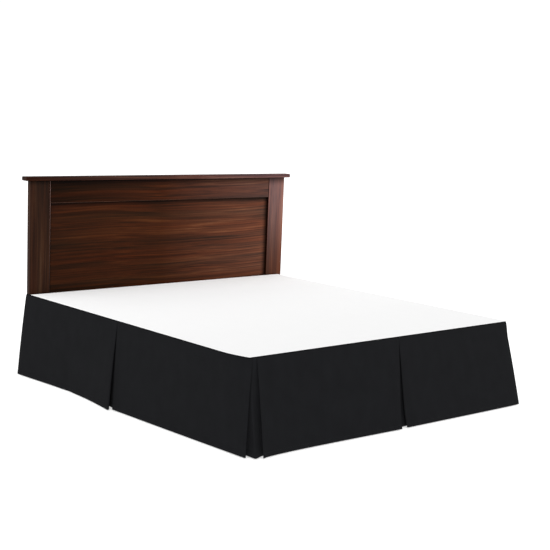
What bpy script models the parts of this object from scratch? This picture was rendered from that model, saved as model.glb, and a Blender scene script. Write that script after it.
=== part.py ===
"""Pleated bed skirt on a box spring, a steel bed frame and a wooden headboard.

Metres, Z up. The bed lies along Y with its headboard at +Y, and the floor is Z = 0.
The origin is on the floor at the middle of the part's footprint.
Inside the functions, plan places are measured from the middle of the skirt's deck:
"across" is the distance from the bed's centre line, "along" runs toward the headboard.
"""

import math

import bmesh
import bpy
import numpy as np

# Bed and skirt sizes
DECK_WIDTH = 1.930
DECK_LENGTH = 2.000
DECK_TOP = 0.466
HEM_HEIGHT = 0.006
CLOTH = 0.0015
GAP = 0.0003
DECK_INSET = 0.003
HALF_WIDTH = DECK_WIDTH / 2
HALF_LENGTH = DECK_LENGTH / 2
DROP_TOP = DECK_TOP - CLOTH - GAP

# How the drops hang: 0 is the seam at the top and 1 is the hem
LEVELS = (0.0, 0.012, 0.035, 0.1, 0.3, 0.55, 0.8, 1.0)
SHOULDER = 0.004
SHOULDER_RUN = 0.012
BELLY = 0.12
STITCHED = 0.055
PLY = 0.0024
PLEAT_REACH = 0.08
TOP_OPENING = 0.0011
FOLD_STEPS = 4
MID_FOLD = 0.009
BACK_FOLD = 0.006
CORNER_FOLD = 0.004
UNDERLAY_LAG = (2.0, 1.3)
RETURN_SHARES = (0.0, 0.05, 0.1, 0.15, 0.2, 0.25, 0.3, 0.4, 0.6, 0.8, 1.0)

# Front panels: how far each end of the hem swings out, how much the hem curves in between them,
# and where along the panel it does
PANEL_COLUMNS = ("first_out", "last_out", "dish", "dish_at")
PANEL_ROWS = {
    "side_head": (0.0950, 0.0935, 0.0340, 0.57),
    "side_foot": (0.0680, 0.0240, -0.0020, 0.50),
    "foot_left": (0.1170, 0.1110, 0.0165, 0.74),
    "foot_right": (0.1130, 0.1190, -0.0040, 0.75),
}

# Head ends of the side drops: places at the seam and at the hem
HEAD_ENDS = {"left": (1.0500, 0.9740), "right": (1.0270, 0.9740)}

# Middle pleats: place at the seam and at the hem, how far the hem kicks sideways from that, half
# the hem's opening, how far the folded back cloth swings out, and how much its back layer bows out
PLEAT_COLUMNS = ("top", "hem", "kick", "opening", "inner_out", "bow")
PLEAT_ROWS = {
    "side": (0.0660, 0.0010, 0.0, 0.0003, 0.0460, 0.0080),
    "foot": (0.0690, 0.0185, 0.0160, 0.0215, 0.0840, 0.0085),
}
KICK_POWER = 9

# Foot corners: how far the seam line is drawn in and over what length, where the side drop and
# the foot drop end on the foot seam, and where both ends are at the hem
CORNER_COLUMNS = ("draw", "run", "side_end", "foot_end", "side_out", "side_past", "foot_across", "foot_out")
CORNER_ROWS = {
    "left": (0.030, 0.16, 0.9165, 0.8890, 0.0240, 0.0560, 0.9190, 0.1110),
    "right": (0.003, 0.05, 0.9460, 0.9435, 0.0250, 0.0750, 0.9700, 0.1190),
}
DRAW_POWER = 1.6
CORNER_RADIUS = 0.012

# Hem of the cloth folded back at each corner, and of the separate cloth behind it (across, along)
RETURN_HEMS = {
    "left": {"side": (0.9630, -0.9750), "foot": (0.8450, -1.0770)},
    "right": {"side": (0.9640, -0.9950), "foot": (0.8880, -1.0850)},
}
UNDERLAY_HEMS = {
    "left": ((0.9590, -0.9650), (0.9560, -1.0960), (0.9000, -1.0750), (0.8450, -1.0725)),
    "right": ((0.9600, -0.9850), (0.9585, -1.1030), (0.9000, -1.0775), (0.8600, -1.0725)),
}
UNDERLAY_TOP_REACH = 0.09
UNDERLAY_RADIUS = 0.006

# Box spring
SPRING_HALF_WIDTH = 0.943
SPRING_FOOT = -0.987
SPRING_HEAD = 0.990
SPRING_HEIGHT = 0.229
SPRING_RADIUS = 0.090
SPRING_EDGE = 0.012

# Steel frame
STEEL = 0.003
RAIL_SIZE = 0.038
RAIL_OUTER = 0.930
RAIL_TOP = DROP_TOP - SPRING_HEIGHT - GAP
RAIL_FOOT = -0.955
CROSS_RAILS = (-0.90, -0.45, 0.0, 0.45, 0.90)
LEG_ROWS = (-0.90, 0.0, 0.90)
LEG_RADIUS = 0.014
GLIDE_RADIUS = 0.022
GLIDE_HEIGHT = 0.012
ROUND_SIDES = 20
BRACKET = 0.004
BRACKET_WIDTH = 0.070
BRACKET_BOTTOM = 0.120
BRACKET_TOP = 0.300

# Headboard
HEADBOARD_SET_BACK = 0.030
HEADBOARD_SHIFT = 0.030
HEADBOARD_HALF_WIDTH = 0.985
HEADBOARD_TOP = 1.135
POST_WIDTH = 0.135
POST_DEPTH = 0.035
FRIEZE_HEIGHT = 0.135
FRIEZE_SET_BACK = 0.004
PANEL_SET_BACK = 0.015
PANEL_DEPTH = 0.012
BOTTOM_RAIL_LOW = 0.260
BOTTOM_RAIL_HIGH = 0.360
CAP_HEIGHT = 0.025
CAP_SIDE = 0.036
CAP_FRONT = 0.020
CAP_BACK = 0.005
WOOD_EDGE = 0.0015
CAP_EDGE = 0.003

# How far the part reaches past the deck's middle, and so where its footprint's middle lies
FOOT_HEM_SWING = 0.1223
HEAD_REACH = HALF_LENGTH + HEADBOARD_SET_BACK + POST_DEPTH + CAP_BACK
FOOT_REACH = HALF_LENGTH + FOOT_HEM_SWING
ORIGIN_SHIFT = (FOOT_REACH - HEAD_REACH) / 2

# Colour, roughness and metallic of each material
FINISHES = {
    "skirt_black": ((0.014, 0.015, 0.016, 1.0), 0.85, 0.0),
    "platform_white": ((0.86, 0.86, 0.85, 1.0), 0.90, 0.0),
    "box_spring_cover": ((0.80, 0.79, 0.76, 1.0), 0.90, 0.0),
    "frame_steel": ((0.05, 0.05, 0.052, 1.0), 0.45, 1.0),
    "glide_plastic": ((0.03, 0.03, 0.03, 1.0), 0.55, 0.0),
    "headboard_wood": ((0.045, 0.022, 0.016, 1.0), 0.45, 0.0),
}


def clear_scene():
    """Remove every object of the open scene."""
    for item in list(bpy.data.objects):
        bpy.data.objects.remove(item, do_unlink=True)


def make_material(name):
    """A Principled BSDF material from its row in FINISHES."""
    colour, roughness, metallic = FINISHES[name]
    material = bpy.data.materials.new(name)
    material.use_nodes = True
    shader = material.node_tree.nodes["Principled BSDF"]
    shader.inputs["Base Color"].default_value = colour
    shader.inputs["Roughness"].default_value = roughness
    shader.inputs["Metallic"].default_value = metallic
    return material


def mix(first, last, share):
    """The value a share of the way from first to last."""
    return first + (last - first) * share


def fall(level):
    """Share of the outward swing reached at a level, a little ahead of a straight line."""
    return level * (1.0 + BELLY * (1.0 - level))


def shoulder(level):
    """How far the cloth still tucks in below the seam."""
    return SHOULDER * math.exp(-level / SHOULDER_RUN)


def opened(level):
    """Share of a pleat's hem opening reached at a level, nothing above its stitching."""
    return max(0.0, (level - STITCHED) / (1.0 - STITCHED))


def named(columns, row):
    """One table row as a dictionary."""
    return dict(zip(columns, row))


def fold(start, end, nose):
    """Half a turn of cloth from start to end whose middle points along nose."""
    start, end, nose = np.array(start), np.array(end), np.array(nose)
    middle, half = (start + end) / 2, (start - end) / 2
    radius = np.linalg.norm(half)
    turns = [math.pi * step / FOLD_STEPS for step in range(FOLD_STEPS + 1)]
    return [middle + half * math.cos(turn) + nose * radius * math.sin(turn) for turn in turns]


def swing_out(panel, share):
    """How far the hem of a front panel stands out at a share of its width."""
    curve = share ** (math.log(0.5) / math.log(panel["dish_at"]))
    return mix(panel["first_out"], panel["last_out"], share) - panel["dish"] * math.sin(math.pi * curve)


def seam_line(corner, start_along, straight_steps, inset):
    """Stations on the seam from a place on the side to a corner's foot side.

    Each station holds a plan point set in by inset, its run from the start, and its outward
    direction. The last station is where the side drop ends.
    """
    slope = corner["draw"] * DRAW_POWER / corner["run"]
    lean = math.atan(slope)
    turn = math.pi / 2 - lean
    tangent = CORNER_RADIUS * math.tan(turn / 2)
    corner_across = HALF_WIDTH - corner["draw"]
    curve_start = corner["run"] - HALF_LENGTH
    curve_share = 1.0 - tangent * math.cos(lean) / corner["run"]
    bare = []
    for step in range(straight_steps):
        bare.append(((HALF_WIDTH, mix(start_along, curve_start, step / straight_steps)), (1.0, 0.0)))
    for step in range(6):
        share = curve_share * step / 5
        across = HALF_WIDTH - corner["draw"] * share ** DRAW_POWER
        tilt = math.atan(slope * share ** (DRAW_POWER - 1.0))
        bare.append(((across, curve_start - share * corner["run"]), (math.cos(tilt), -math.sin(tilt))))
    centre = (corner_across - tangent, CORNER_RADIUS - HALF_LENGTH)
    for step in range(1, 5):
        angle = mix(-lean, -math.pi / 2, step / 4)
        way = (math.cos(angle), math.sin(angle))
        bare.append(((centre[0] + CORNER_RADIUS * way[0], centre[1] + CORNER_RADIUS * way[1]), way))
    bare.append(((corner["side_end"] + PLY / 2, -HALF_LENGTH), (0.0, -1.0)))
    stations, run = [], 0.0
    last = np.array(bare[0][0])
    for point, outward in bare:
        run += float(np.linalg.norm(np.array(point) - last))
        last = np.array(point)
        stations.append((last - inset * np.array(outward), run, np.array(outward)))
    return stations


def at_run(stations, run):
    """The seam point at a run, read between its stations."""
    runs = [station[1] for station in stations]
    return np.array([np.interp(run, runs, [station[0][axis] for station in stations]) for axis in (0, 1)])


def head_panel(panel, head_end, pleat, level, steps):
    """Plan points (outward swing, along) of a side drop's head panel, from its head end to its pleat."""
    points = []
    far = mix(head_end[0], head_end[1], level)
    near = pleat_centre(pleat, level) + pleat_edge(pleat, level)
    for step in range(steps + 1):
        share = step / steps
        points.append((fall(level) * swing_out(panel, share), mix(far, near, share)))
    return points


def pleat_centre(pleat, level):
    """Place of a middle pleat's centre at a level."""
    return mix(pleat["top"], pleat["hem"], level) + pleat["kick"] * level ** KICK_POWER


def pleat_edge(pleat, level):
    """Distance from a middle pleat's centre to the straight end of a front panel."""
    return TOP_OPENING + pleat["opening"] * opened(level) + mix(PLY, MID_FOLD, level) / 2


def middle_pleat(pleat, first_out, last_out, level):
    """Plan points (outward swing, offset from the centre) of the cloth folded in between two panels.

    The points run from the positive side to the negative side, both front folds included.
    """
    edge = pleat_edge(pleat, level)
    depth = mix(PLY, MID_FOLD, level)
    back_depth = mix(PLY, BACK_FOLD, level)
    reach = PLEAT_REACH - back_depth / 2
    inner = mix(-PLY, pleat["inner_out"], level)
    first = fall(level) * first_out
    last = fall(level) * last_out
    points = fold((first, edge), (first - depth, edge), (0.0, -1.0))
    points += [(mix(first - depth, inner, share), mix(edge, reach, share)) for share in (0.33, 0.67)]
    points += fold((inner, reach), (inner - back_depth, reach), (0.0, 1.0))
    for share in (0.6, 0.3, 0.0, -0.3, -0.6):
        points.append((inner - back_depth + pleat["bow"] * level * (1.0 - share * share), share * reach))
    points += fold((inner - back_depth, -reach), (inner, -reach), (0.0, -1.0))
    points += [(mix(last - depth, inner, share), -mix(edge, reach, share)) for share in (0.67, 0.33)]
    points += fold((last - depth, -edge), (last, -edge), (0.0, 1.0))
    return points


def side_front_to_corner(corner, panel, pleat, level):
    """Plan points (across, along) of the side drop's foot panel and its end folded in at the corner."""
    seam = seam_line(corner, pleat["top"], 8, shoulder(level))
    length = seam[-1][1]
    hem_end = (HALF_WIDTH + corner["side_out"], -HALF_LENGTH - corner["side_past"])
    edge = pleat_edge(pleat, level)
    points = []
    for top, run, _ in seam:
        share = run / length
        hem_across = HALF_WIDTH + swing_out(panel, share)
        hem_along = mix(pleat["hem"], hem_end[1], share)
        across = mix(top[0], hem_across, fall(level))
        along = mix(top[1], hem_along, level) - edge * (1.0 - share)
        points.append(np.array((across, along)))
    travel = np.array((level - 1.0, -level)) / math.hypot(1.0 - level, level)
    inward = np.array((travel[1], -travel[0]))
    depth = mix(PLY, CORNER_FOLD, level)
    start = points[-1] + inward * depth
    points[-1:] = fold(points[-1], start, travel)
    return points, start


def corner_return(tops, hems, start, level, out_axis):
    """Plan points of the cloth folded back at a corner, after the fold at start, to its free edge.

    out_axis is the plan axis, 0 across or 1 along, in which the panel in front swings out.
    """
    points = []
    base = tops[0] + (hems[0] - tops[0]) * level
    for share, top, hem in zip(RETURN_SHARES[1:], tops[1:], hems[1:]):
        pace = np.array((level, level))
        pace[out_axis] = mix(fall(level), level, share)
        points.append(top + (hem - top) * pace + (start - base) * (1.0 - share))
    return points


def side_drop_plan(corner_name, level):
    """Plan line (across, along) of a side drop, from its head end to the free edge at the corner."""
    corner = named(CORNER_COLUMNS, CORNER_ROWS[corner_name])
    pleat = named(PLEAT_COLUMNS, PLEAT_ROWS["side"])
    head = named(PANEL_COLUMNS, PANEL_ROWS["side_head"])
    foot = named(PANEL_COLUMNS, PANEL_ROWS["side_foot"])
    line = HALF_WIDTH - shoulder(level)
    centre = pleat_centre(pleat, level)
    points = [(line + out, along)
              for out, along in head_panel(head, HEAD_ENDS[corner_name], pleat, level, 12)[:-1]]
    for out, offset in middle_pleat(pleat, head["last_out"], foot["first_out"], level)[:-1]:
        points.append((line + out, centre + offset))
    front, start = side_front_to_corner(corner, foot, pleat, level)
    points += front
    seam = seam_line(corner, pleat["top"], 8, shoulder(level) + PLY)
    end_run = seam[-1][1]
    tops = [at_run(seam, end_run - PLEAT_REACH * share) for share in RETURN_SHARES]
    hem_start = np.array((HALF_WIDTH + corner["side_out"] - CORNER_FOLD, -HALF_LENGTH - corner["side_past"]))
    hem_end = np.array(RETURN_HEMS[corner_name]["side"])
    hems = [mix(hem_start, hem_end, share) for share in RETURN_SHARES]
    points += corner_return(tops, hems, start, level, 0)
    return points


def foot_half_plan(corner_name, side, level):
    """Plan line (across from the centre line, along) of half the foot drop, from its pleat to the free edge.

    side is -1 for the left half and +1 for the right half. Places across are positive outward.
    """
    corner = named(CORNER_COLUMNS, CORNER_ROWS[corner_name])
    pleat = named(PLEAT_COLUMNS, PLEAT_ROWS["foot"])
    panel = named(PANEL_COLUMNS, PANEL_ROWS["foot_" + corner_name])
    line = HALF_LENGTH - shoulder(level)
    depth = mix(PLY, CORNER_FOLD, level)
    near = side * pleat_centre(pleat, level) + pleat_edge(pleat, level)
    far = mix(corner["foot_end"], corner["foot_across"], level)
    points = []
    steps = 12
    for step in range(steps + 1):
        share = step / steps
        out = fall(level) * swing_out(panel, share)
        points.append(np.array((mix(near, far - depth / 2, share), -line - out)))
    start = points[-1] + np.array((0.0, depth))
    points[-1:] = fold(points[-1], start, np.array((1.0, 0.0)))
    hem_start = np.array((corner["foot_across"], CORNER_FOLD - HALF_LENGTH - corner["foot_out"]))
    hem_end = np.array(RETURN_HEMS[corner_name]["foot"])
    tops, hems = [], []
    for share in RETURN_SHARES:
        tops.append(np.array((corner["foot_end"] - PLEAT_REACH * share, PLY - line)))
        hems.append(mix(hem_start, hem_end, share))
    points += corner_return(tops, hems, start, level, 1)
    return points


def foot_drop_plan(level):
    """Plan line (x, along) of the foot drop, from its left free edge to its right one."""
    pleat = named(PLEAT_COLUMNS, PLEAT_ROWS["foot"])
    left = named(PANEL_COLUMNS, PANEL_ROWS["foot_left"])
    right = named(PANEL_COLUMNS, PANEL_ROWS["foot_right"])
    centre = pleat_centre(pleat, level)
    line = HALF_LENGTH - shoulder(level)
    points = [(-across, along) for across, along in reversed(foot_half_plan("left", -1, level))]
    inner = middle_pleat(pleat, right["first_out"], left["first_out"], level)
    for out, offset in reversed(inner[1:-1]):
        points.append((centre + offset, -line - out))
    points += [(across, along) for across, along in foot_half_plan("right", 1, level)]
    return points


def round_turn(before, at, after, radius, steps):
    """Points of an arc of the given radius that replaces the turn at a point."""
    back = (before - at) / np.linalg.norm(before - at)
    ahead = (after - at) / np.linalg.norm(after - at)
    half = math.acos(float(np.clip(back @ ahead, -1.0, 1.0))) / 2
    tangent = radius / math.tan(half)
    centre = at + (back + ahead) / np.linalg.norm(back + ahead) * radius / math.sin(half)
    first, last = at + back * tangent - centre, at + ahead * tangent - centre
    sweep = math.pi - 2 * half
    points = []
    for step in range(steps + 1):
        turn = sweep * step / steps
        points.append(centre + (first * math.sin(sweep - turn) + last * math.sin(turn)) / math.sin(sweep))
    return points


def spaced(first, last, steps):
    """Evenly spaced points from first, with last left out."""
    return [mix(first, last, step / steps) for step in range(steps)]


def underlay_plan(corner_name, level):
    """Plan line (across, along) of the separate cloth behind a corner pleat, side to foot."""
    corner = named(CORNER_COLUMNS, CORNER_ROWS[corner_name])
    seam = seam_line(corner, 0.0, 8, shoulder(level) + 2 * PLY)
    arc = [station[0] for station in seam[-6:-1]]
    arc_run = seam[-6][1]
    tops = [at_run(seam, arc_run - UNDERLAY_TOP_REACH * (1.0 - step / 6)) for step in range(6)]
    tops += arc
    foot_end = np.array((UNDERLAY_HEMS[corner_name][-1][0], arc[-1][1]))
    tops += [mix(arc[-1], foot_end, step / 6) for step in range(1, 7)]
    side_end, corner_point, foot_turn, foot_edge = [np.array(point) for point in UNDERLAY_HEMS[corner_name]]
    turn = round_turn(side_end, corner_point, foot_turn, UNDERLAY_RADIUS, 4)
    hems = spaced(side_end, turn[0], 6) + turn
    hems += [mix(turn[-1], foot_turn, step / 3) for step in range(1, 4)]
    hems += [mix(foot_turn, foot_edge, step / 3) for step in range(1, 4)]
    pace = level ** np.array(UNDERLAY_LAG)
    return [top + (hem - top) * pace for top, hem in zip(tops, hems)]


def face_lines(path, half):
    """The two faces of a cloth strip in plan, half a thickness to each side of its middle line."""
    points = np.array([tuple(point) for point in path])
    step = np.diff(points, axis=0)
    step /= np.linalg.norm(step, axis=1, keepdims=True)
    normals = np.column_stack((-step[:, 1], step[:, 0]))
    before = np.vstack((normals[:1], normals))
    after = np.vstack((normals, normals[-1:]))
    offset = (before + after) / (1.0 + (before * after).sum(axis=1, keepdims=True))
    return points + half * offset, points - half * offset


def make_object(name, points, faces, material, smooth):
    """A mesh object with outward faces, moved so that the part's origin is at the world's."""
    mesh = bpy.data.meshes.new(name)
    mesh.from_pydata([(x, y + ORIGIN_SHIFT, z) for x, y, z in points], [], faces)
    shape = bmesh.new()
    shape.from_mesh(mesh)
    bmesh.ops.recalc_face_normals(shape, faces=shape.faces)
    shape.to_mesh(mesh)
    shape.free()
    mesh.materials.append(material)
    if smooth:
        mesh.polygons.foreach_set("use_smooth", [True] * len(mesh.polygons))
        mesh.set_sharp_from_angle(angle=math.radians(40.0))
    item = bpy.data.objects.new(name, mesh)
    bpy.context.scene.collection.objects.link(item)
    return item


def quad_pair(first, second, third, fourth):
    """Two triangles that split a quad at its first corner."""
    return [(first, second, third), (first, third, fourth)]


def cloth_strip(name, plan_at, material):
    """A hanging strip of cloth, lofted through its plan lines from the seam to the hem."""
    points, rows = [], []
    for level in LEVELS:
        height = mix(DROP_TOP, HEM_HEIGHT, level)
        for line in face_lines(plan_at(level), CLOTH / 2):
            rows.append(range(len(points), len(points) + len(line)))
            points += [(x, y, height) for x, y in line]
    faces = []
    width = len(rows[0])
    for level in range(len(LEVELS) - 1):
        for side in (0, 1):
            upper, lower = rows[2 * level + side], rows[2 * level + 2 + side]
            for place in range(width - 1):
                faces += quad_pair(upper[place], upper[place + 1], lower[place + 1], lower[place])
        for place in (0, width - 1):
            outer, inner = rows[2 * level], rows[2 * level + 1]
            outer_low, inner_low = rows[2 * level + 2], rows[2 * level + 3]
            faces += quad_pair(outer[place], inner[place], inner_low[place], outer_low[place])
    for outer, inner in ((rows[0], rows[1]), (rows[-2], rows[-1])):
        for place in range(width - 1):
            faces += quad_pair(outer[place], outer[place + 1], inner[place + 1], inner[place])
    return make_object(name, points, faces, material, True)


def loft(name, rings, material, smooth):
    """A closed solid through rings of equal point count, with flat ends."""
    count = len(rings[0])
    points = [point for ring in rings for point in ring]
    faces = [tuple(range(count)), tuple(range(len(points) - count, len(points)))]
    for ring in range(len(rings) - 1):
        for place in range(count):
            following = (place + 1) % count
            low, high = ring * count, (ring + 1) * count
            faces.append((low + place, low + following, high + following, high + place))
    return make_object(name, points, faces, material, smooth)


def make_block(name, low, high, edge, material):
    """A box between two corners with small bevelled edges."""
    shape = bmesh.new()
    bmesh.ops.create_cube(shape, size=1.0)
    for vertex in shape.verts:
        vertex.co = [mix(low[axis], high[axis], vertex.co[axis] + 0.5) for axis in range(3)]
    if edge:
        bmesh.ops.bevel(shape, geom=shape.edges[:], offset=edge, segments=1, affect="EDGES")
    shape.verts.ensure_lookup_table()
    points = [tuple(vertex.co) for vertex in shape.verts]
    faces = [tuple(vertex.index for vertex in face.verts) for face in shape.faces]
    shape.free()
    return make_object(name, points, faces, material, False)


def make_round(name, across, along, bottom, top, radius, material):
    """An upright round bar."""
    rings = []
    for height in (bottom, top):
        ring = []
        for side in range(ROUND_SIDES):
            turn = 2 * math.pi * side / ROUND_SIDES
            ring.append((across + radius * math.cos(turn), along + radius * math.sin(turn), height))
        rings.append(ring)
    return loft(name, rings, material, True)


def make_angle(name, profile, axis, start, end, material):
    """A length of angle steel whose profile is drawn in the plane across the given axis."""
    rings = []
    for place in (start, end):
        if axis == "along":
            rings.append([(flat, place, height) for flat, height in profile])
        else:
            rings.append([(place, flat, height) for flat, height in profile])
    return loft(name, rings, material, False)


def angle_profile(outer, inner):
    """An upside-down L whose upright stands at outer and whose flat top reaches to inner."""
    web = outer + math.copysign(STEEL, inner - outer)
    low = RAIL_TOP - RAIL_SIZE
    return [(outer, low), (outer, RAIL_TOP), (inner, RAIL_TOP), (inner, RAIL_TOP - STEEL),
            (web, RAIL_TOP - STEEL), (web, low)]


def deck_outline():
    """Plan outline of the deck, both foot corners drawn in, counter-clockwise from the right head corner."""
    right = [station[0] for station in seam_line(corner_row("right"), HALF_LENGTH, 1, DECK_INSET)[:-1]]
    left = [station[0] for station in seam_line(corner_row("left"), HALF_LENGTH, 1, DECK_INSET)[:-1]]
    return [(x, y) for x, y in right] + [(-x, y) for x, y in reversed(left)]


def corner_row(name):
    """A foot corner's table row."""
    return named(CORNER_COLUMNS, CORNER_ROWS[name])


def build_skirt(materials):
    """The deck, the three drops and the cloth behind both foot corner pleats."""
    outline = deck_outline()
    rings = [[(x, y, height) for x, y in outline] for height in (DECK_TOP - CLOTH, DECK_TOP)]
    loft("deck", rings, materials["platform_white"], False)
    black = materials["skirt_black"]
    for corner_name, side in (("left", -1), ("right", 1)):
        cloth_strip("drop_" + corner_name, mirrored(side_drop_plan, corner_name, side), black)
        cloth_strip("corner_underlay_" + corner_name, mirrored(underlay_plan, corner_name, side), black)
    cloth_strip("drop_foot", foot_drop_plan, black)


def mirrored(plan, corner_name, side):
    """A plan function with its places across turned into X on the given side."""
    def plan_at(level):
        return [(side * across, along) for across, along in plan(corner_name, level)]
    return plan_at


def spring_ring(height, inset):
    """Rounded rectangle of the box spring at one height."""
    radius = SPRING_RADIUS - inset
    centres = ((SPRING_HALF_WIDTH, SPRING_HEAD, 0), (-SPRING_HALF_WIDTH, SPRING_HEAD, 1),
               (-SPRING_HALF_WIDTH, SPRING_FOOT, 2), (SPRING_HALF_WIDTH, SPRING_FOOT, 3))
    ring = []
    for x, y, quarter in centres:
        centre_x = x - math.copysign(SPRING_RADIUS, x)
        centre_y = y - math.copysign(SPRING_RADIUS, y)
        for step in range(5):
            turn = math.pi / 2 * (quarter + step / 4)
            ring.append((centre_x + radius * math.cos(turn), centre_y + radius * math.sin(turn), height))
    return ring


def build_box_spring(materials):
    """The box spring as one upholstered block."""
    low = DROP_TOP - SPRING_HEIGHT
    heights = ((low, SPRING_EDGE), (low + SPRING_EDGE / 3, SPRING_EDGE / 3), (low + SPRING_EDGE, 0.0),
               (DROP_TOP - SPRING_EDGE, 0.0), (DROP_TOP - SPRING_EDGE / 3, SPRING_EDGE / 3),
               (DROP_TOP, SPRING_EDGE))
    loft("box_spring", [spring_ring(*row) for row in heights], materials["box_spring_cover"], True)


def build_frame(materials):
    """Side rails, cross rails, legs with their glides, and the headboard brackets."""
    steel, plastic = materials["frame_steel"], materials["glide_plastic"]
    face = HALF_LENGTH + HEADBOARD_SET_BACK
    rail_inner = RAIL_OUTER - RAIL_SIZE
    leg_top = RAIL_TOP - STEEL - GAP
    leg_across = rail_inner + (RAIL_SIZE - STEEL) / 2
    for label, side in (("left", -1), ("right", 1)):
        profile = angle_profile(side * RAIL_OUTER, side * rail_inner)
        make_angle("side_rail_" + label, profile, "along", RAIL_FOOT, face - 2 * GAP - BRACKET, steel)
        reach = sorted((side * RAIL_OUTER, side * (RAIL_OUTER - BRACKET_WIDTH)))
        make_block("bracket_" + label, (reach[0], face - GAP - BRACKET, BRACKET_BOTTOM),
                   (reach[1], face - GAP, BRACKET_TOP), 0.0, steel)
    for number, along in enumerate(CROSS_RAILS, start=1):
        profile = angle_profile(along + RAIL_SIZE / 2, along - RAIL_SIZE / 2)
        make_angle(f"cross_rail_{number}", profile, "across", GAP - rail_inner, rail_inner - GAP, steel)
    places = (("left", -leg_across, 0.0), ("middle", 0.0, -STEEL / 2), ("right", leg_across, 0.0))
    for row, along in zip(("foot", "centre", "head"), LEG_ROWS):
        for label, across, aside in places:
            place = along + aside
            make_round(f"leg_{row}_{label}", across, place, GLIDE_HEIGHT + GAP, leg_top, LEG_RADIUS, steel)
            make_round(f"glide_{row}_{label}", across, place, 0.0, GLIDE_HEIGHT, GLIDE_RADIUS, plastic)


def build_headboard(materials):
    """Posts, frieze, recessed panel, bottom rail and cap of the headboard."""
    wood = materials["headboard_wood"]
    front = HALF_LENGTH + HEADBOARD_SET_BACK
    back = front + POST_DEPTH
    left, right = HEADBOARD_SHIFT - HEADBOARD_HALF_WIDTH, HEADBOARD_SHIFT + HEADBOARD_HALF_WIDTH
    inner_left, inner_right = left + POST_WIDTH, right - POST_WIDTH
    make_block("post_left", (left, front, 0.0), (inner_left, back, HEADBOARD_TOP), WOOD_EDGE, wood)
    make_block("post_right", (inner_right, front, 0.0), (right, back, HEADBOARD_TOP), WOOD_EDGE, wood)
    between_left, between_right = inner_left + GAP, inner_right - GAP
    frieze_low = HEADBOARD_TOP - FRIEZE_HEIGHT
    rail_front = front + FRIEZE_SET_BACK
    make_block("frieze_rail", (between_left, rail_front, frieze_low),
               (between_right, back, HEADBOARD_TOP), WOOD_EDGE, wood)
    make_block("bottom_rail", (between_left, rail_front, BOTTOM_RAIL_LOW),
               (between_right, back, BOTTOM_RAIL_HIGH), WOOD_EDGE, wood)
    panel_front = front + PANEL_SET_BACK
    make_block("recessed_panel", (between_left, panel_front, BOTTOM_RAIL_HIGH + GAP),
               (between_right, panel_front + PANEL_DEPTH, frieze_low - GAP), 0.0, wood)
    cap_low = HEADBOARD_TOP + GAP
    make_block("cap_rail", (left - CAP_SIDE, front - CAP_FRONT, cap_low),
               (right + CAP_SIDE, back + CAP_BACK, cap_low + CAP_HEIGHT), CAP_EDGE, wood)


def main():
    """Build the whole part."""
    clear_scene()
    materials = {name: make_material(name) for name in FINISHES}
    build_skirt(materials)
    build_box_spring(materials)
    build_frame(materials)
    build_headboard(materials)


main()
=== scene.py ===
"""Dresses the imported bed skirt: cloth with its seams and stitching, box spring, steel frame and headboard.

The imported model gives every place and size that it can. All lengths are metres, Z is up and the
headboard stands at +Y. Cloth is lofted from plan lines, one line for each height of a drop.
"""

import logging
import math
from dataclasses import dataclass
from enum import Enum
from typing import Callable, Dict, List, Sequence, Tuple, TypeVar, Union

import bmesh
import bpy
import numpy as np
from mathutils import Matrix, Vector


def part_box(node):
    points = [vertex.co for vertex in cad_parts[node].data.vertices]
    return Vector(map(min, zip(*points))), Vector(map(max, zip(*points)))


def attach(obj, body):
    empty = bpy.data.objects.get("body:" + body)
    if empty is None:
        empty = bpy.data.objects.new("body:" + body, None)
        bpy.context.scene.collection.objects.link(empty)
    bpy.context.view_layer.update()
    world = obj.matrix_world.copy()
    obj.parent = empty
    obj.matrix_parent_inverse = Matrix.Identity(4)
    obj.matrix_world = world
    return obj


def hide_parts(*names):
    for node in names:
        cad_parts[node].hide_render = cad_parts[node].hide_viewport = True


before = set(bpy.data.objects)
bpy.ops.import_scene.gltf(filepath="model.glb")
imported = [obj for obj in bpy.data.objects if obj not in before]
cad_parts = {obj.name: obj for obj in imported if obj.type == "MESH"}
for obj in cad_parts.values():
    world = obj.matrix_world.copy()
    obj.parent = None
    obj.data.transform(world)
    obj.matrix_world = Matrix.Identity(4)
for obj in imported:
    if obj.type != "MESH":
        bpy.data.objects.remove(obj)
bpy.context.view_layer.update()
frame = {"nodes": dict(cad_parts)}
LOG = logging.getLogger("bed_skirt")

Colour = Tuple[float, float, float]
Point = Union[Sequence[float], np.ndarray]
Plan = List[np.ndarray]
Socket = bpy.types.NodeSocket
Setting = Union[Socket, float, str, Sequence[float]]
Value = TypeVar("Value", float, np.ndarray)


class Side(Enum):
    """A side of the bed, seen from its foot."""

    LEFT = -1
    RIGHT = 1

    @property
    def label(self) -> str:
        """The side's word in the frame's node names."""
        return self.name.lower()


class Grain(Enum):
    """Direction in which a board's grain runs."""

    ACROSS = "across"
    UPRIGHT = "upright"


def mix(first: Value, last: Value, share: float) -> Value:
    """The value a share of the way from first to last."""
    return first + (last - first) * share


def bell(value: float, centre: float, width: float) -> float:
    """A soft hump of height 1 around centre."""
    return math.exp(-((value - centre) / width) ** 2)


def grey(tone: float) -> Colour:
    """A colour without hue."""
    return (tone, tone, tone)


def put(name: str, data: bpy.types.ID) -> bpy.types.Object:
    """Put an object into the scene.

    Args:
        name: The object's name.
        data: Its mesh, curve, light or camera.

    Returns:
        The object.
    """
    item = bpy.data.objects.new(name, data)
    bpy.context.scene.collection.objects.link(item)
    return item


# ---------------------------------------------------------------- finishes


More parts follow.
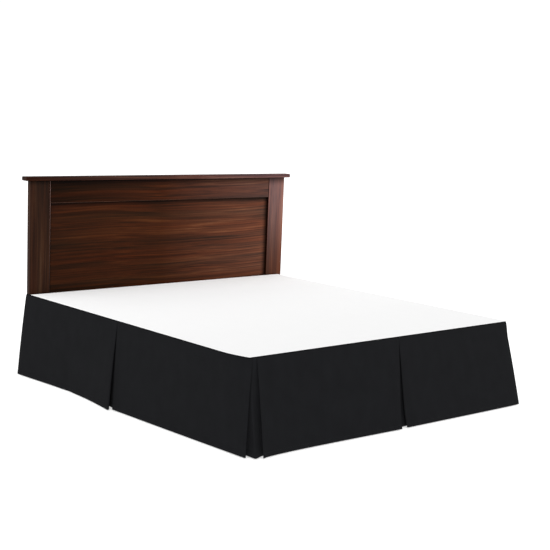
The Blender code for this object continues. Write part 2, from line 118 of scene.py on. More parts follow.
class NodeTree:
    """A node tree, with short calls that add and join its nodes."""

    def __init__(self, tree: bpy.types.NodeTree) -> None:
        """Take a tree in hand."""
        self.tree = tree

    def add(self, kind: str, **settings: Setting) -> bpy.types.Node:
        """Add a node.

        Args:
            kind: Blender's node type.
            **settings: Node properties, or inputs by name with spaces as underscores.

        Returns:
            The new node.
        """
        node = self.tree.nodes.new(kind)
        for key, value in settings.items():
            if hasattr(node, key):
                setattr(node, key, value)
            else:
                self.feed(node.inputs[key.replace("_", " ")], value)
        return node

    def feed(self, socket: Socket, value: Setting) -> None:
        """Link another node's output to an input, or set the input to a plain value.

        Args:
            socket: The input.
            value: The output or value.
        """
        if isinstance(value, bpy.types.NodeSocket):
            self.tree.links.new(value, socket)
        else:
            socket.default_value = value


class Shading(NodeTree):
    """A material in the making."""

    FIRST_COLOUR, SECOND_COLOUR, MIXED_COLOUR = 6, 7, 2

    def __init__(self, name: str) -> None:
        """Start a material with only its Principled shader.

        Args:
            name: The material's name.
        """
        self.material = bpy.data.materials.new(name)
        self.material.use_nodes = True
        super().__init__(self.material.node_tree)
        self.shader = self.tree.nodes["Principled BSDF"]

    def axis(self, place: Socket, letter: str) -> Socket:
        """One axis of some coordinates."""
        return self.add("ShaderNodeSeparateXYZ", Vector=place).outputs[letter]

    def stretched(self, place: Socket, scale: Sequence[float]) -> Socket:
        """Coordinates scaled by a factor on each axis."""
        return self.add("ShaderNodeMapping", Vector=place, Scale=scale).outputs["Vector"]

    def noise(self, place: Socket, scale: float, detail: float, roughness: float = 0.5) -> Socket:
        """Soft noise at a place.

        Args:
            place: The coordinates.
            scale: Cycles in a metre.
            detail: Number of finer layers.
            roughness: Strength of the finer layers.

        Returns:
            The noise value.
        """
        node = self.add("ShaderNodeTexNoise", Vector=place, Scale=scale, Detail=detail, Roughness=roughness)
        return node.outputs["Fac"]

    def way(self, value: Socket, start: Setting, end: Setting, results: Tuple[Setting, Setting] = (0.0, 1.0),
            soft: bool = False) -> Socket:
        """How far a value is on its way between two others.

        Args:
            value: The value.
            start: Where the way starts.
            end: Where it ends.
            results: What is returned before its start and past its end.
            soft: Whether it starts and ends gently.

        Returns:
            The result.
        """
        node = self.add("ShaderNodeMapRange", interpolation_type="SMOOTHSTEP" if soft else "LINEAR",
                        Value=value, From_Min=start, From_Max=end, To_Min=results[0], To_Max=results[1])
        return node.outputs["Result"]

    def ramp(self, value: Socket, stops: Sequence[Tuple[float, Colour]]) -> Socket:
        """Colours along a value.

        Args:
            value: The value from 0 to 1.
            stops: Place and colour of each stop.

        Returns:
            The colour.
        """
        node = self.add("ShaderNodeValToRGB", Fac=value)
        band = node.color_ramp
        while len(band.elements) < len(stops):
            band.elements.new(0.5)
        for element, (place, colour) in zip(band.elements, stops):
            element.position = place
            element.color = (*colour, 1.0)
        return node.outputs["Color"]

    def greys(self, value: Socket, shades: Sequence[Tuple[float, float]]) -> Socket:
        """Greys along a value, from the place and tone of each stop."""
        return self.ramp(value, [(place, grey(tone)) for place, tone in shades])

    def worked(self, operation: str, *values: Setting) -> Socket:
        """The result of a Math node.

        Args:
            operation: What the node does.
            *values: What it does it with.

        Returns:
            The result.
        """
        node = self.add("ShaderNodeMath", operation=operation)
        for socket, value in zip(node.inputs, values):
            self.feed(socket, value)
        return node.outputs[0]

    def sum(self, parts: Sequence[Tuple[Socket, float]], base: float) -> Socket:
        """Values added up with a weight each.

        Args:
            parts: Each value and its weight.
            base: What the sum starts at.

        Returns:
            The sum.
        """
        total = base
        for value, weight in parts:
            total = self.worked("MULTIPLY_ADD", value, weight, total)
        return total

    def wave_of(self, value: Socket, turns: float) -> Socket:
        """A value turned into a wave between 0 and 1, like contour lines."""
        angle = self.worked("MULTIPLY", value, 2 * math.pi * turns)
        return self.sum([(self.worked("SINE", angle), 0.5)], 0.5)

    def blend(self, first: Socket, second: Socket, share: Setting, kind: str = "MIX") -> Socket:
        """Two colours mixed.

        Args:
            first: The first colour.
            second: The second colour.
            share: Share of the second one.
            kind: How they are mixed.

        Returns:
            The mixed colour.
        """
        node = self.add("ShaderNodeMix", data_type="RGBA", blend_type=kind, Factor=share)
        self.feed(node.inputs[self.FIRST_COLOUR], first)
        self.feed(node.inputs[self.SECOND_COLOUR], second)
        return node.outputs[self.MIXED_COLOUR]

    def product(self, first: Socket, second: Socket) -> Socket:
        """Two colours, or a colour and a value, multiplied."""
        return self.blend(first, second, 1.0, "MULTIPLY")

    def bump(self, height: Socket, strength: float, distance: float) -> None:
        """Give the shader a relief.

        Args:
            height: The relief's height, from 0 to 1.
            strength: Its share.
            distance: What a height of 1 stands for.
        """
        node = self.add("ShaderNodeBump", Height=height, Strength=strength, Distance=distance)
        self.finish(Normal=node.outputs["Normal"])

    def finish(self, **values: Setting) -> None:
        """Set or link the shader's own inputs, named with spaces as underscores."""
        for key, value in values.items():
            self.feed(self.shader.inputs[key.replace("_", " ")], value)


@dataclass(frozen=True)
class WovenCloth:
    """A cloth whose pattern follows its own UV map, which is in metres.

    Above seam_at, measured up the map, the cloth darkens toward its seam: painted shade where the seam's
    shadow falls.
    """

    name: str
    dark: Colour
    light: Colour
    roughness: float
    specular: float
    sheen: float
    thread: float
    relief: float
    seam_at: float = 0.0
    seam_shade: float = 1.0
    seam_reach: float = 0.004
    nap_patches: float = 16.0
    fibres: float = 900.0

    def build(self) -> bpy.types.Material:
        """Make the cloth's material: patches of nap left by its brushing, threads and a fine uneven tone.

        Returns:
            The material.
        """
        shade = Shading(self.name)
        place = shade.add("ShaderNodeUVMap", uv_map="cloth").outputs["UV"]
        nap = shade.noise(shade.stretched(place, (1.0, 0.6, 1.0)), self.nap_patches, detail=3.0)
        fuzz = shade.noise(shade.stretched(place, (1.0, 0.5, 1.0)), self.fibres, detail=2.0, roughness=0.7)
        warp, weft = (self.threads(shade, place, direction) for direction in "XY")
        tone = shade.sum([(nap, 0.9), (fuzz, 0.5), (warp, 0.1), (weft, 0.1)], -0.3)
        colour = self.brushed(shade, place, shade.ramp(tone, [(0.0, self.dark), (1.0, self.light)]))
        # Painted shade: darker toward the seam, where the seam's shadow falls.
        if self.seam_at:
            edge = shade.way(shade.axis(place, "Y"), self.seam_at - self.seam_reach, self.seam_at,
                             (1.0, self.seam_shade), soft=True)
            colour = shade.product(colour, edge)
        relief = shade.sum([(fuzz, 0.8), (warp, 0.5), (weft, 0.5)], 0.0)
        shade.bump(relief, strength=0.35, distance=self.relief)
        shade.finish(Base_Color=colour, Roughness=self.roughness, Specular_IOR_Level=self.specular,
                     Sheen_Weight=self.sheen, Sheen_Roughness=0.6)
        return shade.material

    def threads(self, shade: Shading, place: Socket, direction: str) -> Socket:
        """Slightly uneven threads side by side.

        Args:
            shade: The material in the making.
            place: The cloth's UV map.
            direction: Axis across the threads.

        Returns:
            How high the threads stand.
        """
        node = shade.add("ShaderNodeTexWave", wave_type="BANDS", bands_direction=direction, Vector=place,
                         Scale=1.0 / self.thread, Distortion=1.2, Detail=1.0)
        return node.outputs["Fac"]

    def brushed(self, shade: Shading, place: Socket, colour: Socket) -> Socket:
        """The colour as it is: the plain cloth has no painted shade."""
        return colour


@dataclass(frozen=True)
class CornerCloth(WovenCloth):
    """The cloth behind a corner pleat, with painted light and shade in a strip where the pleat opens.

    Each strip is where the painted light and shade starts and ends across the cloth, at the hem and at the
    seam, and each row of shades runs across the strip: lighter and darker bands that stand in for the light
    and shadow in the opening. From blend_low to blend_high, as shares of the height, the hem's shades give
    way to the seam's.
    """

    height: float = 0.35
    hem_strip: Tuple[float, float] = (0.024, 0.225)
    seam_strip: Tuple[float, float] = (0.1035, 0.1435)
    hem_shades: Tuple[Tuple[float, float], ...] = (
        (0.0, 1.0), (0.15, 1.45), (0.20, 1.55), (0.27, 1.3), (0.36, 1.05),
        (0.5, 1.0), (0.64, 1.2), (0.8, 1.7), (1.0, 1.0))
    seam_shades: Tuple[Tuple[float, float], ...] = (
        (0.0, 1.0), (0.15, 0.7), (0.20, 0.68), (0.27, 0.85), (0.36, 1.15),
        (0.5, 1.25), (0.64, 1.4), (0.8, 1.9), (1.0, 1.0))
    blend_low: float = 0.35
    blend_high: float = 0.75

    def brushed(self, shade: Shading, place: Socket, colour: Socket) -> Socket:
        """Paint light and shade in a strip that widens toward the hem.

        Args:
            shade: The material in the making.
            place: The cloth's UV map.
            colour: The colour before.

        Returns:
            The colour, lighter or darker across the strip.
        """
        up = shade.axis(place, "Y")
        strips = zip(self.hem_strip, self.seam_strip)
        start, end = (shade.way(up, 0.0, self.height, places) for places in strips)
        across = shade.way(shade.axis(place, "X"), start, end)
        upward = shade.way(up, self.blend_low * self.height, self.blend_high * self.height, soft=True)
        # Painted light and shade: lighter and darker bands across the strip, blended from the hem's to the
        # seam's.
        low, high = (shade.greys(across, shades) for shades in (self.hem_shades, self.seam_shades))
        return shade.product(colour, shade.blend(low, high, upward))


@dataclass(frozen=True)
class PlatformCloth(WovenCloth):
    """The white deck's cloth, with painted shade: darker toward the foot and lightest at the head end.

    The shades run from the foot end to the head end.
    """

    half_length: float = 1.0
    shades: Tuple[Tuple[float, float], ...] = (
        (0.0, 0.845), (0.25, 0.865), (0.5, 0.90), (0.75, 0.94), (0.87, 0.985), (0.95, 1.0))

    def brushed(self, shade: Shading, place: Socket, colour: Socket) -> Socket:
        """Paint shade on the cloth, darker toward the foot.

        Args:
            shade: The material in the making.
            place: The cloth's UV map.
            colour: The colour before.

        Returns:
            The colour with its painted shade.
        """
        along = shade.way(shade.axis(place, "Y"), -self.half_length, self.half_length)
        return shade.product(colour, shade.greys(along, self.shades))


@dataclass(frozen=True)
class Pool:
    """Painted shade along an axis, darkest at a place.

    It is darkest there and gone at a reach before it, or past it where the reach is negative.
    """

    axis: str
    place: float
    reach: float
    darkest: Colour


@dataclass(frozen=True)
class Layer:
    """One layer of noise in the wood's figure, stretched along and across the grain.

    Where it has rings, the noise is turned into that many contour lines.
    """

    share: float
    scale: float
    detail: float
    roughness: float
    stretch: Tuple[float, float] = (1.0, 1.0)
    rings: float = 0.0


FIGURE = {
    "wide_bands": Layer(share=0.85, scale=0.7, detail=1.0, roughness=0.4),
    "bands": Layer(share=0.70, scale=1.7, detail=3.0, roughness=0.55),
    "rings": Layer(share=0.20, scale=0.9, detail=2.0, roughness=0.35, rings=9.0),
    "streaks": Layer(share=0.60, scale=11.0, detail=4.0, roughness=0.66, stretch=(0.8, 0.8)),
    "long_streaks": Layer(share=1.30, scale=11.0, detail=2.0, roughness=0.6, stretch=(0.4, 1.6)),
    "flecks": Layer(share=0.20, scale=11.0, detail=2.0, roughness=0.6, stretch=(2.6, 1.3)),
    "pores": Layer(share=0.30, scale=70.0, detail=2.0, roughness=0.6),
}


@dataclass(frozen=True)
class WalnutStain:
    """Dark stained walnut with a figure of some strength.

    Its colour of painted light and shade runs from the bed's left side over its middle to its right side,
    and bands of painted shade darken it where shadows fall. The figure is stretched
    by grain_scale, along and across the grain, and wanders across the grain by drift.
    """

    name: str
    grain: Grain
    light_and_shade_colours: Tuple[Colour, Colour, Colour]
    seed: float
    painted_shades: Tuple[Pool, ...] = ()
    figure: float = 1.0
    roughness: float = 0.38
    specular: float = 0.03
    grain_scale: Tuple[float, float] = (0.23, 7.0)
    drift: float = 0.40
    middle_tone: float = 0.49
    tones: Tuple[Tuple[float, Colour], ...] = (
        (0.00, (0.012, 0.0055, 0.0024)),
        (0.30, (0.028, 0.0092, 0.0034)),
        (0.55, (0.045, 0.0124, 0.0040)),
        (0.78, (0.064, 0.0190, 0.0056)),
        (1.00, (0.098, 0.0350, 0.0110)))
    hues: Tuple[Tuple[float, Colour], ...] = ((0.3, (1.10, 0.92, 0.84)), (0.7, (0.90, 1.08, 1.18)))

    def build(self) -> bpy.types.Material:
        """Make the wood's material: the layers of its figure, its painted light and shade across the bed and
        its bands of painted shade.

        Returns:
            The material.
        """
        shade = Shading(self.name)
        place = shade.add("ShaderNodeTexCoord").outputs["Object"]
        flow = self.drifting(shade, place)
        figure = {name: self.layered(shade, flow, layer) for name, layer in FIGURE.items()}
        parts = [(figure[name], self.figure * layer.share) for name, layer in FIGURE.items()]
        shares = sum(layer.share for layer in FIGURE.values())
        tone = shade.sum(parts, self.middle_tone - 0.5 * self.figure * shares)
        hue = shade.ramp(shade.noise(flow, scale=2.3, detail=3.0), self.hues)
        # Painted light and shade: the colour changes from the bed's left side to its right side.
        across_bed = shade.way(shade.axis(place, "X"), -1.0, 1.0)
        painted_light = shade.ramp(across_bed, list(zip((0.0, 0.5, 1.0), self.light_and_shade_colours)))
        colour = shade.product(shade.product(shade.ramp(tone, self.tones), hue), painted_light)
        # Bands of painted shade, where shadows fall on the board.
        for painted_band in self.painted_shades:
            colour = shade.product(colour, self.painted_shade_of(shade, place, painted_band))
        relief = shade.sum([(figure["streaks"], 0.5), (figure["pores"], 0.8)], 0.0)
        shade.bump(relief, strength=0.2, distance=0.0003)
        shade.finish(Base_Color=colour, Roughness=self.roughness, Specular_IOR_Level=self.specular)
        return shade.material

    def layered(self, shade: Shading, flow: Socket, layer: Layer) -> Socket:
        """Make one layer of the figure.

        Args:
            shade: The material in the making.
            flow: The grain's coordinates.
            layer: The layer.

        Returns:
            Its value.
        """
        if layer.stretch != (1.0, 1.0):
            flow = shade.stretched(flow, self.turned(*layer.stretch))
        value = shade.noise(flow, layer.scale, layer.detail, layer.roughness)
        return shade.wave_of(value, layer.rings) if layer.rings else value

    def turned(self, along: float, across: float) -> Tuple[float, float, float]:
        """Factors on X, Y and Z from one along the grain and one across it."""
        return {Grain.ACROSS: (along, across, across), Grain.UPRIGHT: (across, across, along)}[self.grain]

    def drifting(self, shade: Shading, place: Socket) -> Socket:
        """Stretch the coordinates along the grain, and let them wander slowly across the board.

        Args:
            shade: The material in the making.
            place: Object coordinates.

        Returns:
            The grain's coordinates.
        """
        flow = shade.add("ShaderNodeMapping", Vector=place, Scale=self.turned(*self.grain_scale),
                         Location=(self.seed, 0.7 * self.seed, 1.3 * self.seed))
        slow = shade.add("ShaderNodeTexNoise", Vector=place, Scale=0.9, Detail=1.0, Roughness=0.5)
        bend = shade.add("ShaderNodeVectorMath", operation="MULTIPLY_ADD")
        bends = (slow.outputs["Color"], self.turned(0.0, self.drift), flow.outputs["Vector"])
        for socket, value in zip(bend.inputs, bends):
            shade.feed(socket, value)
        return bend.outputs[0]

    @staticmethod
    def painted_shade_of(shade: Shading, place: Socket, painted_band: Pool) -> Socket:
        """Share of the stain's colour that a band of painted shade leaves."""
        near = shade.way(shade.axis(place, painted_band.axis), painted_band.place - painted_band.reach, painted_band.place, soft=True)
        return shade.ramp(near, [(0.0, grey(1.0)), (1.0, painted_band.darkest)])


@dataclass(frozen=True)
class Enamel:
    """A hard finish such as painted steel or moulded plastic, with a slightly uneven surface."""

    name: str
    dark: Colour
    light: Colour
    roughness: float
    metallic: float
    speckle: float

    def build(self) -> bpy.types.Material:
        """Make the finish's material.

        Returns:
            The material.
        """
        shade = Shading(self.name)
        place = shade.add("ShaderNodeTexCoord").outputs["Object"]
        cloud = shade.noise(place, scale=22.0, detail=3.0)
        speck = shade.noise(place, self.speckle, detail=2.0)
        tone = shade.sum([(cloud, 0.7), (speck, 0.5)], -0.1)
        shade.bump(speck, strength=0.25, distance=0.0003)
        shade.finish(Base_Color=shade.ramp(tone, [(0.0, self.dark), (1.0, self.light)]),
                     Roughness=self.roughness, Metallic=self.metallic)
        return shade.material


@dataclass(frozen=True)
class Thread:
    """Sewing thread, slightly shiny and dimmer in its twist."""

    name: str
    colour: Colour

    def build(self) -> bpy.types.Material:
        """Make the thread's material.

        Returns:
            The material.
        """
        shade = Shading(self.name)
        place = shade.add("ShaderNodeTexCoord").outputs["Object"]
        twist = shade.noise(place, scale=2500.0, detail=1.0)
        dim = tuple(0.8 * part for part in self.colour)
        shade.finish(Base_Color=shade.ramp(twist, [(0.3, dim), (0.7, self.colour)]), Roughness=0.6,
                     Specular_IOR_Level=0.3)
        return shade.material


# ---------------------------------------------------------------- cloth from plan lines


@dataclass(frozen=True)
class Hang:
    """How the skirt's drops hang. A level of 0 is the seam at the top, and 1 is the hem.

    A drop is tucked in by shoulder at its seam, and bulges by belly on its way outward. Folded
    layers lie a ply apart at the seam, and part to the widths of the three folds at the hem. A
    pleat's cloth runs to reach on both sides, and is stitched shut down to the level of stitched.
    The corner cloth hangs back behind the drops by the powers of underlay_lag, across and along.
    """

    shoulder: float = 0.004
    shoulder_run: float = 0.012
    belly: float = 0.12
    stitched: float = 0.055
    ply: float = 0.0024
    reach: float = 0.08
    top_opening: float = 0.0011
    fold_steps: int = 8
    mid_fold: float = 0.009
    back_fold: float = 0.006
    corner_fold: float = 0.004
    underlay_lag: Tuple[float, float] = (2.0, 1.3)
    kick_power: int = 9

    def fall(self, level: float) -> float:
        """Share of the outward swing reached at a level."""
        return level * (1.0 + self.belly * (1.0 - level))

    def tuck(self, level: float) -> float:
        """How far the cloth still tucks in below the seam."""
        return self.shoulder * math.exp(-level / self.shoulder_run)

    def opened(self, level: float) -> float:
        """Share of a pleat's hem opening reached at a level, nothing above its stitching."""
        return max(0.0, (level - self.stitched) / (1.0 - self.stitched))

    def fold(self, start: Point, end: Point, nose: Point) -> Plan:
        """Half a turn of cloth.

        Args:
            start: Plan point where the turn starts.
            end: Plan point where it ends.
            nose: Direction in which its middle points.

        Returns:
            The plan points of the turn, both ends included.
        """
        start, end, nose = np.array(start), np.array(end), np.array(nose)
        middle, half = (start + end) / 2, (start - end) / 2
        radius = float(np.linalg.norm(half))
        turns = [math.pi * step / self.fold_steps for step in range(self.fold_steps + 1)]
        return [middle + half * math.cos(turn) + nose * radius * math.sin(turn) for turn in turns]


@dataclass(frozen=True)
class FrontPanel:
    """One flat panel of a drop between its far end and a middle pleat.

    The hem of the panel stands out by far_out and near_out at its ends, and is drawn in by dish
    between them, most at dish_at. A crease is a soft upright trough.
    """

    far_out: float
    near_out: float
    dish: float
    dish_at: float
    crease_at: float = 0.5
    crease_depth: float = 0.0
    crease_width: float = 0.06

    def out(self, share: float) -> float:
        """How far the hem stands out.

        Args:
            share: Share of the way from the far end to the pleat.

        Returns:
            The distance outward.
        """
        curve = share ** (math.log(0.5) / math.log(self.dish_at))
        swing = mix(self.far_out, self.near_out, share) - self.dish * math.sin(math.pi * curve)
        return swing - self.crease_depth * bell(share, self.crease_at, self.crease_width)


@dataclass(frozen=True)
class Pleat:
    """An inverted box pleat in the middle of a drop. Its hem kicks sideways a little."""

    top: float
    hem: float
    opening: float
    inner_out: float
    bow: float
    kick: float = 0.0
    wall_steps: int = 5
    back_steps: int = 6

    def centre(self, level: float, hang: Hang) -> float:
        """Place of the pleat's centre along its drop."""
        return mix(self.top, self.hem, level) + self.kick * level ** hang.kick_power

    def edge(self, level: float, hang: Hang) -> float:
        """Distance from the centre to where a front panel starts to turn in."""
        return hang.top_opening + self.opening * hang.opened(level) + mix(hang.ply, hang.mid_fold, level) / 2

    def inside(self, first_out: float, last_out: float, level: float,
               hang: Hang) -> List[Tuple[float, float]]:
        """The cloth folded in between two front panels.

        Args:
            first_out: Hem swing of the panel on the positive side.
            last_out: Hem swing of the panel on the negative side.
            level: Level of the plan line.
            hang: How the drops hang.

        Returns:
            Outward swing and offset from the centre of each point, both front folds included.
        """
        edge = self.edge(level, hang)
        depth, back_depth = mix(hang.ply, hang.mid_fold, level), mix(hang.ply, hang.back_fold, level)
        reach = hang.reach - back_depth / 2
        inner = mix(-hang.ply, self.inner_out, level)
        first, last = hang.fall(level) * first_out, hang.fall(level) * last_out
        rest = [step / self.wall_steps for step in range(1, self.wall_steps)]
        points = hang.fold((first, edge), (first - depth, edge), (0.0, -1.0))
        points += [(mix(first - depth, inner, share), mix(edge, reach, share)) for share in rest]
        points += hang.fold((inner, reach), (inner - back_depth, reach), (0.0, 1.0))
        for step in range(1, 2 * self.back_steps):
            share = 1.0 - step / self.back_steps
            points.append((inner - back_depth + self.bow * level * (1.0 - share * share), share * reach))
        points += hang.fold((inner - back_depth, -reach), (inner, -reach), (0.0, -1.0))
        points += [(mix(last - depth, inner, share), -mix(edge, reach, share)) for share in reversed(rest)]
        points += hang.fold((last - depth, -edge), (last, -edge), (0.0, 1.0))
        return [tuple(point) for point in points]


@dataclass(frozen=True)
class CornerPleat:
    """A foot corner, with the cloth behind its two drops.

    The seam is drawn in by draw over its last run. side_end and foot_end are where the drops end
    across the foot, at the seam. At the hem, the sides' and the foot's out, past and across place
    the last folds, the returns are the free edges of the cloth folded back, and underlay holds the
    ends and turns of the cloth behind.
    """

    draw: float
    run: float
    side_end: float
    foot_end: float
    side_out: float
    side_past: float
    foot_across: float
    foot_out: float
    side_return: Tuple[float, float]
    foot_return: Tuple[float, float]
    underlay: Tuple[Tuple[float, float], ...]
    draw_power: float = 1.6
    radius: float = 0.012
    underlay_top: float = 0.09
    underlay_radius: float = 0.006


@dataclass(frozen=True)
class SkirtLines:
    """The plan lines of the whole skirt, measured from the middle of its deck.

    head_ends says where each side drop ends at the head, at its seam and at its hem.
    """

    half_width: float
    half_length: float
    hang: Hang
    side_pleat: Pleat
    foot_pleat: Pleat
    head_ends: Dict[Side, Tuple[float, float]]
    head_panels: Dict[Side, FrontPanel]
    side_foot: FrontPanel
    foot_panels: Dict[Side, FrontPanel]
    corners: Dict[Side, CornerPleat]
    side_steps: int = 60
    foot_steps: int = 48
    draw_steps: int = 12
    round_steps: int = 8
    last_steps: int = 3
    underlay_steps: int = 12
    return_shares: Tuple[float, ...] = (0.0, 0.05, 0.1, 0.15, 0.2, 0.25, 0.3, 0.4, 0.5, 0.6, 0.7, 0.8,
                                        0.9, 1.0)

    def seam(self, corner: CornerPleat, start: float, straight_steps: int,
             inset: float) -> List[Tuple[np.ndarray, float]]:
        """Stations on the seam from a place on the side to a corner's foot side.

        Args:
            corner: The foot corner.
            start: Place along the side where the stations start.
            straight_steps: Number of stations before the seam draws in.
            inset: How far the points lie inside the seam.

        Returns:
            Plan point and run from the start of each station.
        """
        slope = corner.draw * corner.draw_power / corner.run
        lean = math.atan(slope)
        tangent = corner.radius * math.tan((math.pi / 2 - lean) / 2)
        curve_start = corner.run - self.half_length
        curve_share = 1.0 - tangent * math.cos(lean) / corner.run
        bare = []
        for step in range(straight_steps):
            bare.append(((self.half_width, mix(start, curve_start, step / straight_steps)), (1.0, 0.0)))
        for step in range(self.draw_steps + 1):
            share = curve_share * step / self.draw_steps
            tilt = math.atan(slope * share ** (corner.draw_power - 1.0))
            across = self.half_width - corner.draw * share ** corner.draw_power
            bare.append(((across, curve_start - share * corner.run), (math.cos(tilt), -math.sin(tilt))))
        centre = (self.half_width - corner.draw - tangent, corner.radius - self.half_length)
        for step in range(1, self.round_steps + 1):
            angle = mix(-lean, -math.pi / 2, step / self.round_steps)
            way = (math.cos(angle), math.sin(angle))
            bare.append(((centre[0] + corner.radius * way[0], centre[1] + corner.radius * way[1]), way))
        end = corner.side_end + self.hang.ply / 2
        for step in range(1, self.last_steps + 1):
            bare.append(((mix(centre[0], end, step / self.last_steps), -self.half_length), (0.0, -1.0)))
        stations, run, last = [], 0.0, np.array(bare[0][0])
        for point, outward in bare:
            run += float(np.linalg.norm(np.array(point) - last))
            last = np.array(point)
            stations.append((last - inset * np.array(outward), run))
        return stations

    @staticmethod
    def at_run(stations: List[Tuple[np.ndarray, float]], run: float) -> np.ndarray:
        """The seam point at a run."""
        runs = [station[1] for station in stations]
        return np.array([np.interp(run, runs, [station[0][axis] for station in stations]) for axis in (0, 1)])

    def folded_back(self, tops: Plan, hems: Plan, start: np.ndarray, level: float, out_axis: int) -> Plan:
        """The cloth folded back at a corner, after the fold, to its free edge.

        Args:
            tops: Its points at the seam.
            hems: Its points at the hem.
            start: Where the fold ends at this level.
            level: Level of the plan line.
            out_axis: Plan axis in which the panel in front swings out.

        Returns:
            The plan points.
        """
        points = []
        base = tops[0] + (hems[0] - tops[0]) * level
        for share, top, hem in zip(self.return_shares[1:], tops[1:], hems[1:]):
            pace = np.array((level, level))
            pace[out_axis] = mix(self.hang.fall(level), level, share)
            points.append(top + (hem - top) * pace + (start - base) * (1.0 - share))
        return points

    def side_drop(self, side: Side, level: float) -> Plan:
        """Plan line of a side drop from its head end to the free edge at the foot corner.

        Args:
            side: Which side drop.
            level: Level of the line.

        Returns:
            Points as (across, along).
        """
        hang, corner, pleat = self.hang, self.corners[side], self.side_pleat
        head, foot = self.head_panels[side], self.side_foot
        line = self.half_width - hang.tuck(level)
        centre, edge = pleat.centre(level, hang), pleat.edge(level, hang)
        far = mix(*self.head_ends[side], level)
        points = []
        for step in range(self.side_steps):
            share = step / self.side_steps
            across = line + hang.fall(level) * head.out(share)
            points.append(np.array((across, mix(far, centre + edge, share))))
        for out, offset in pleat.inside(head.near_out, foot.far_out, level, hang)[:-1]:
            points.append(np.array((line + out, centre + offset)))
        seam = self.seam(corner, pleat.top, self.side_steps, hang.tuck(level))
        hem_end = -self.half_length - corner.side_past
        for top, run in seam:
            share = run / seam[-1][1]
            across = mix(top[0], self.half_width + foot.out(share), hang.fall(level))
            along = mix(top[1], mix(pleat.hem, hem_end, share), level) - edge * (1.0 - share)
            points.append(np.array((across, along)))
        travel = np.array((level - 1.0, -level)) / math.hypot(1.0 - level, level)
        inward = np.array((travel[1], -travel[0]))
        start = points[-1] + inward * mix(hang.ply, hang.corner_fold, level)
        points[-1:] = hang.fold(points[-1], start, travel)
        back = self.seam(corner, pleat.top, self.side_steps, hang.tuck(level) + hang.ply)
        tops = [self.at_run(back, back[-1][1] - hang.reach * share) for share in self.return_shares]
        hem_start = np.array((self.half_width + corner.side_out - hang.corner_fold, hem_end))
        hems = [mix(hem_start, np.array(corner.side_return), share) for share in self.return_shares]
        return points + self.folded_back(tops, hems, start, level, 0)

    def foot_half(self, side: Side, level: float) -> Plan:
        """Plan line of half the foot drop from its middle pleat to the free edge at a corner.

        Args:
            side: Which half.
            level: Level of the line.

        Returns:
            Points as (across, along), across positive outward.
        """
        hang, corner, pleat, panel = self.hang, self.corners[side], self.foot_pleat, self.foot_panels[side]
        line = self.half_length - hang.tuck(level)
        depth = mix(hang.ply, hang.corner_fold, level)
        near = side.value * pleat.centre(level, hang) + pleat.edge(level, hang)
        far = mix(corner.foot_end, corner.foot_across, level) - depth / 2
        points = []
        for step in range(self.foot_steps + 1):
            share = step / self.foot_steps
            along = -line - hang.fall(level) * panel.out(1.0 - share)
            points.append(np.array((mix(near, far, share), along)))
        start = points[-1] + np.array((0.0, depth))
        points[-1:] = hang.fold(points[-1], start, (1.0, 0.0))
        hem_start = np.array((corner.foot_across, hang.corner_fold - self.half_length - corner.foot_out))
        tops, hems = [], []
        for share in self.return_shares:
            tops.append(np.array((corner.foot_end - hang.reach * share, hang.ply - line)))
            hems.append(mix(hem_start, np.array(corner.foot_return), share))
        return points + self.folded_back(tops, hems, start, level, 1)

    def foot_drop(self, level: float) -> Plan:
        """Plan line of the foot drop from its left free edge to its right one.

        Args:
            level: Level of the line.

        Returns:
            Points as (X, Y from the deck's middle).
        """
        pleat, panels = self.foot_pleat, self.foot_panels
        line = self.half_length - self.hang.tuck(level)
        left = [np.array((-across, along)) for across, along in self.foot_half(Side.LEFT, level)]
        inner = pleat.inside(panels[Side.RIGHT].near_out, panels[Side.LEFT].near_out, level, self.hang)
        centre = pleat.centre(level, self.hang)
        middle = [np.array((centre + offset, -line - out)) for out, offset in reversed(inner[1:-1])]
        return left[::-1] + middle + self.foot_half(Side.RIGHT, level)

    def underlay(self, side: Side, level: float) -> Plan:
        """Plan line of the separate cloth behind a corner pleat, from the side to the foot.

        Args:
            side: Which corner.
            level: Level of the line.

        Returns:
            Points as (across, along).
        """
        corner, hang, steps = self.corners[side], self.hang, self.underlay_steps
        seam = self.seam(corner, 0.0, self.underlay_steps, hang.tuck(level) + 2 * hang.ply)
        arc = seam[-self.last_steps - self.round_steps - 1:-self.last_steps]
        runs = [arc[0][1] - corner.underlay_top * (1.0 - step / steps) for step in range(steps)]
        tops = [self.at_run(seam, run) for run in runs]
        tops += [station[0] for station in arc]
        tops += self.stretch(tops[-1], np.array((corner.underlay[-1][0], tops[-1][1])), steps)
        side_end, at, foot_turn, foot_edge = [np.array(point) for point in corner.underlay]
        turn = self.round_turn(side_end, at, foot_turn, corner.underlay_radius, self.round_steps)
        hems = [mix(side_end, turn[0], step / steps) for step in range(steps)] + turn
        hems += self.stretch(turn[-1], foot_turn, steps // 2) + self.stretch(foot_turn, foot_edge, steps // 2)
        pace = level ** np.array(hang.underlay_lag)
        return [top + (hem - top) * pace for top, hem in zip(tops, hems)]

    @staticmethod
    def stretch(start: np.ndarray, end: np.ndarray, steps: int) -> Plan:
        """Evenly spaced points after start, up to end."""
        return [mix(start, end, step / steps) for step in range(1, steps + 1)]

    @staticmethod
    def round_turn(before: np.ndarray, at: np.ndarray, after: np.ndarray, radius: float, steps: int) -> Plan:
        """Round a turn off.

        Args:
            before: A point before the turn.
            at: The turn.
            after: A point after it.
            radius: Radius of the arc that takes its place.
            steps: Number of steps on the arc.

        Returns:
            The points of the arc.
        """
        back = (before - at) / np.linalg.norm(before - at)
        ahead = (after - at) / np.linalg.norm(after - at)
        half = math.acos(float(np.clip(back @ ahead, -1.0, 1.0))) / 2
        tangent = radius / math.tan(half)
        centre = at + (back + ahead) / np.linalg.norm(back + ahead) * radius / math.sin(half)
        first, last = at + back * tangent - centre, at + ahead * tangent - centre
        sweep = math.pi - 2 * half
        points = []
        for step in range(steps + 1):
            turn = sweep * step / steps
            points.append(centre + (first * math.sin(sweep - turn) + last * math.sin(turn)) / math.sin(sweep))
        return points


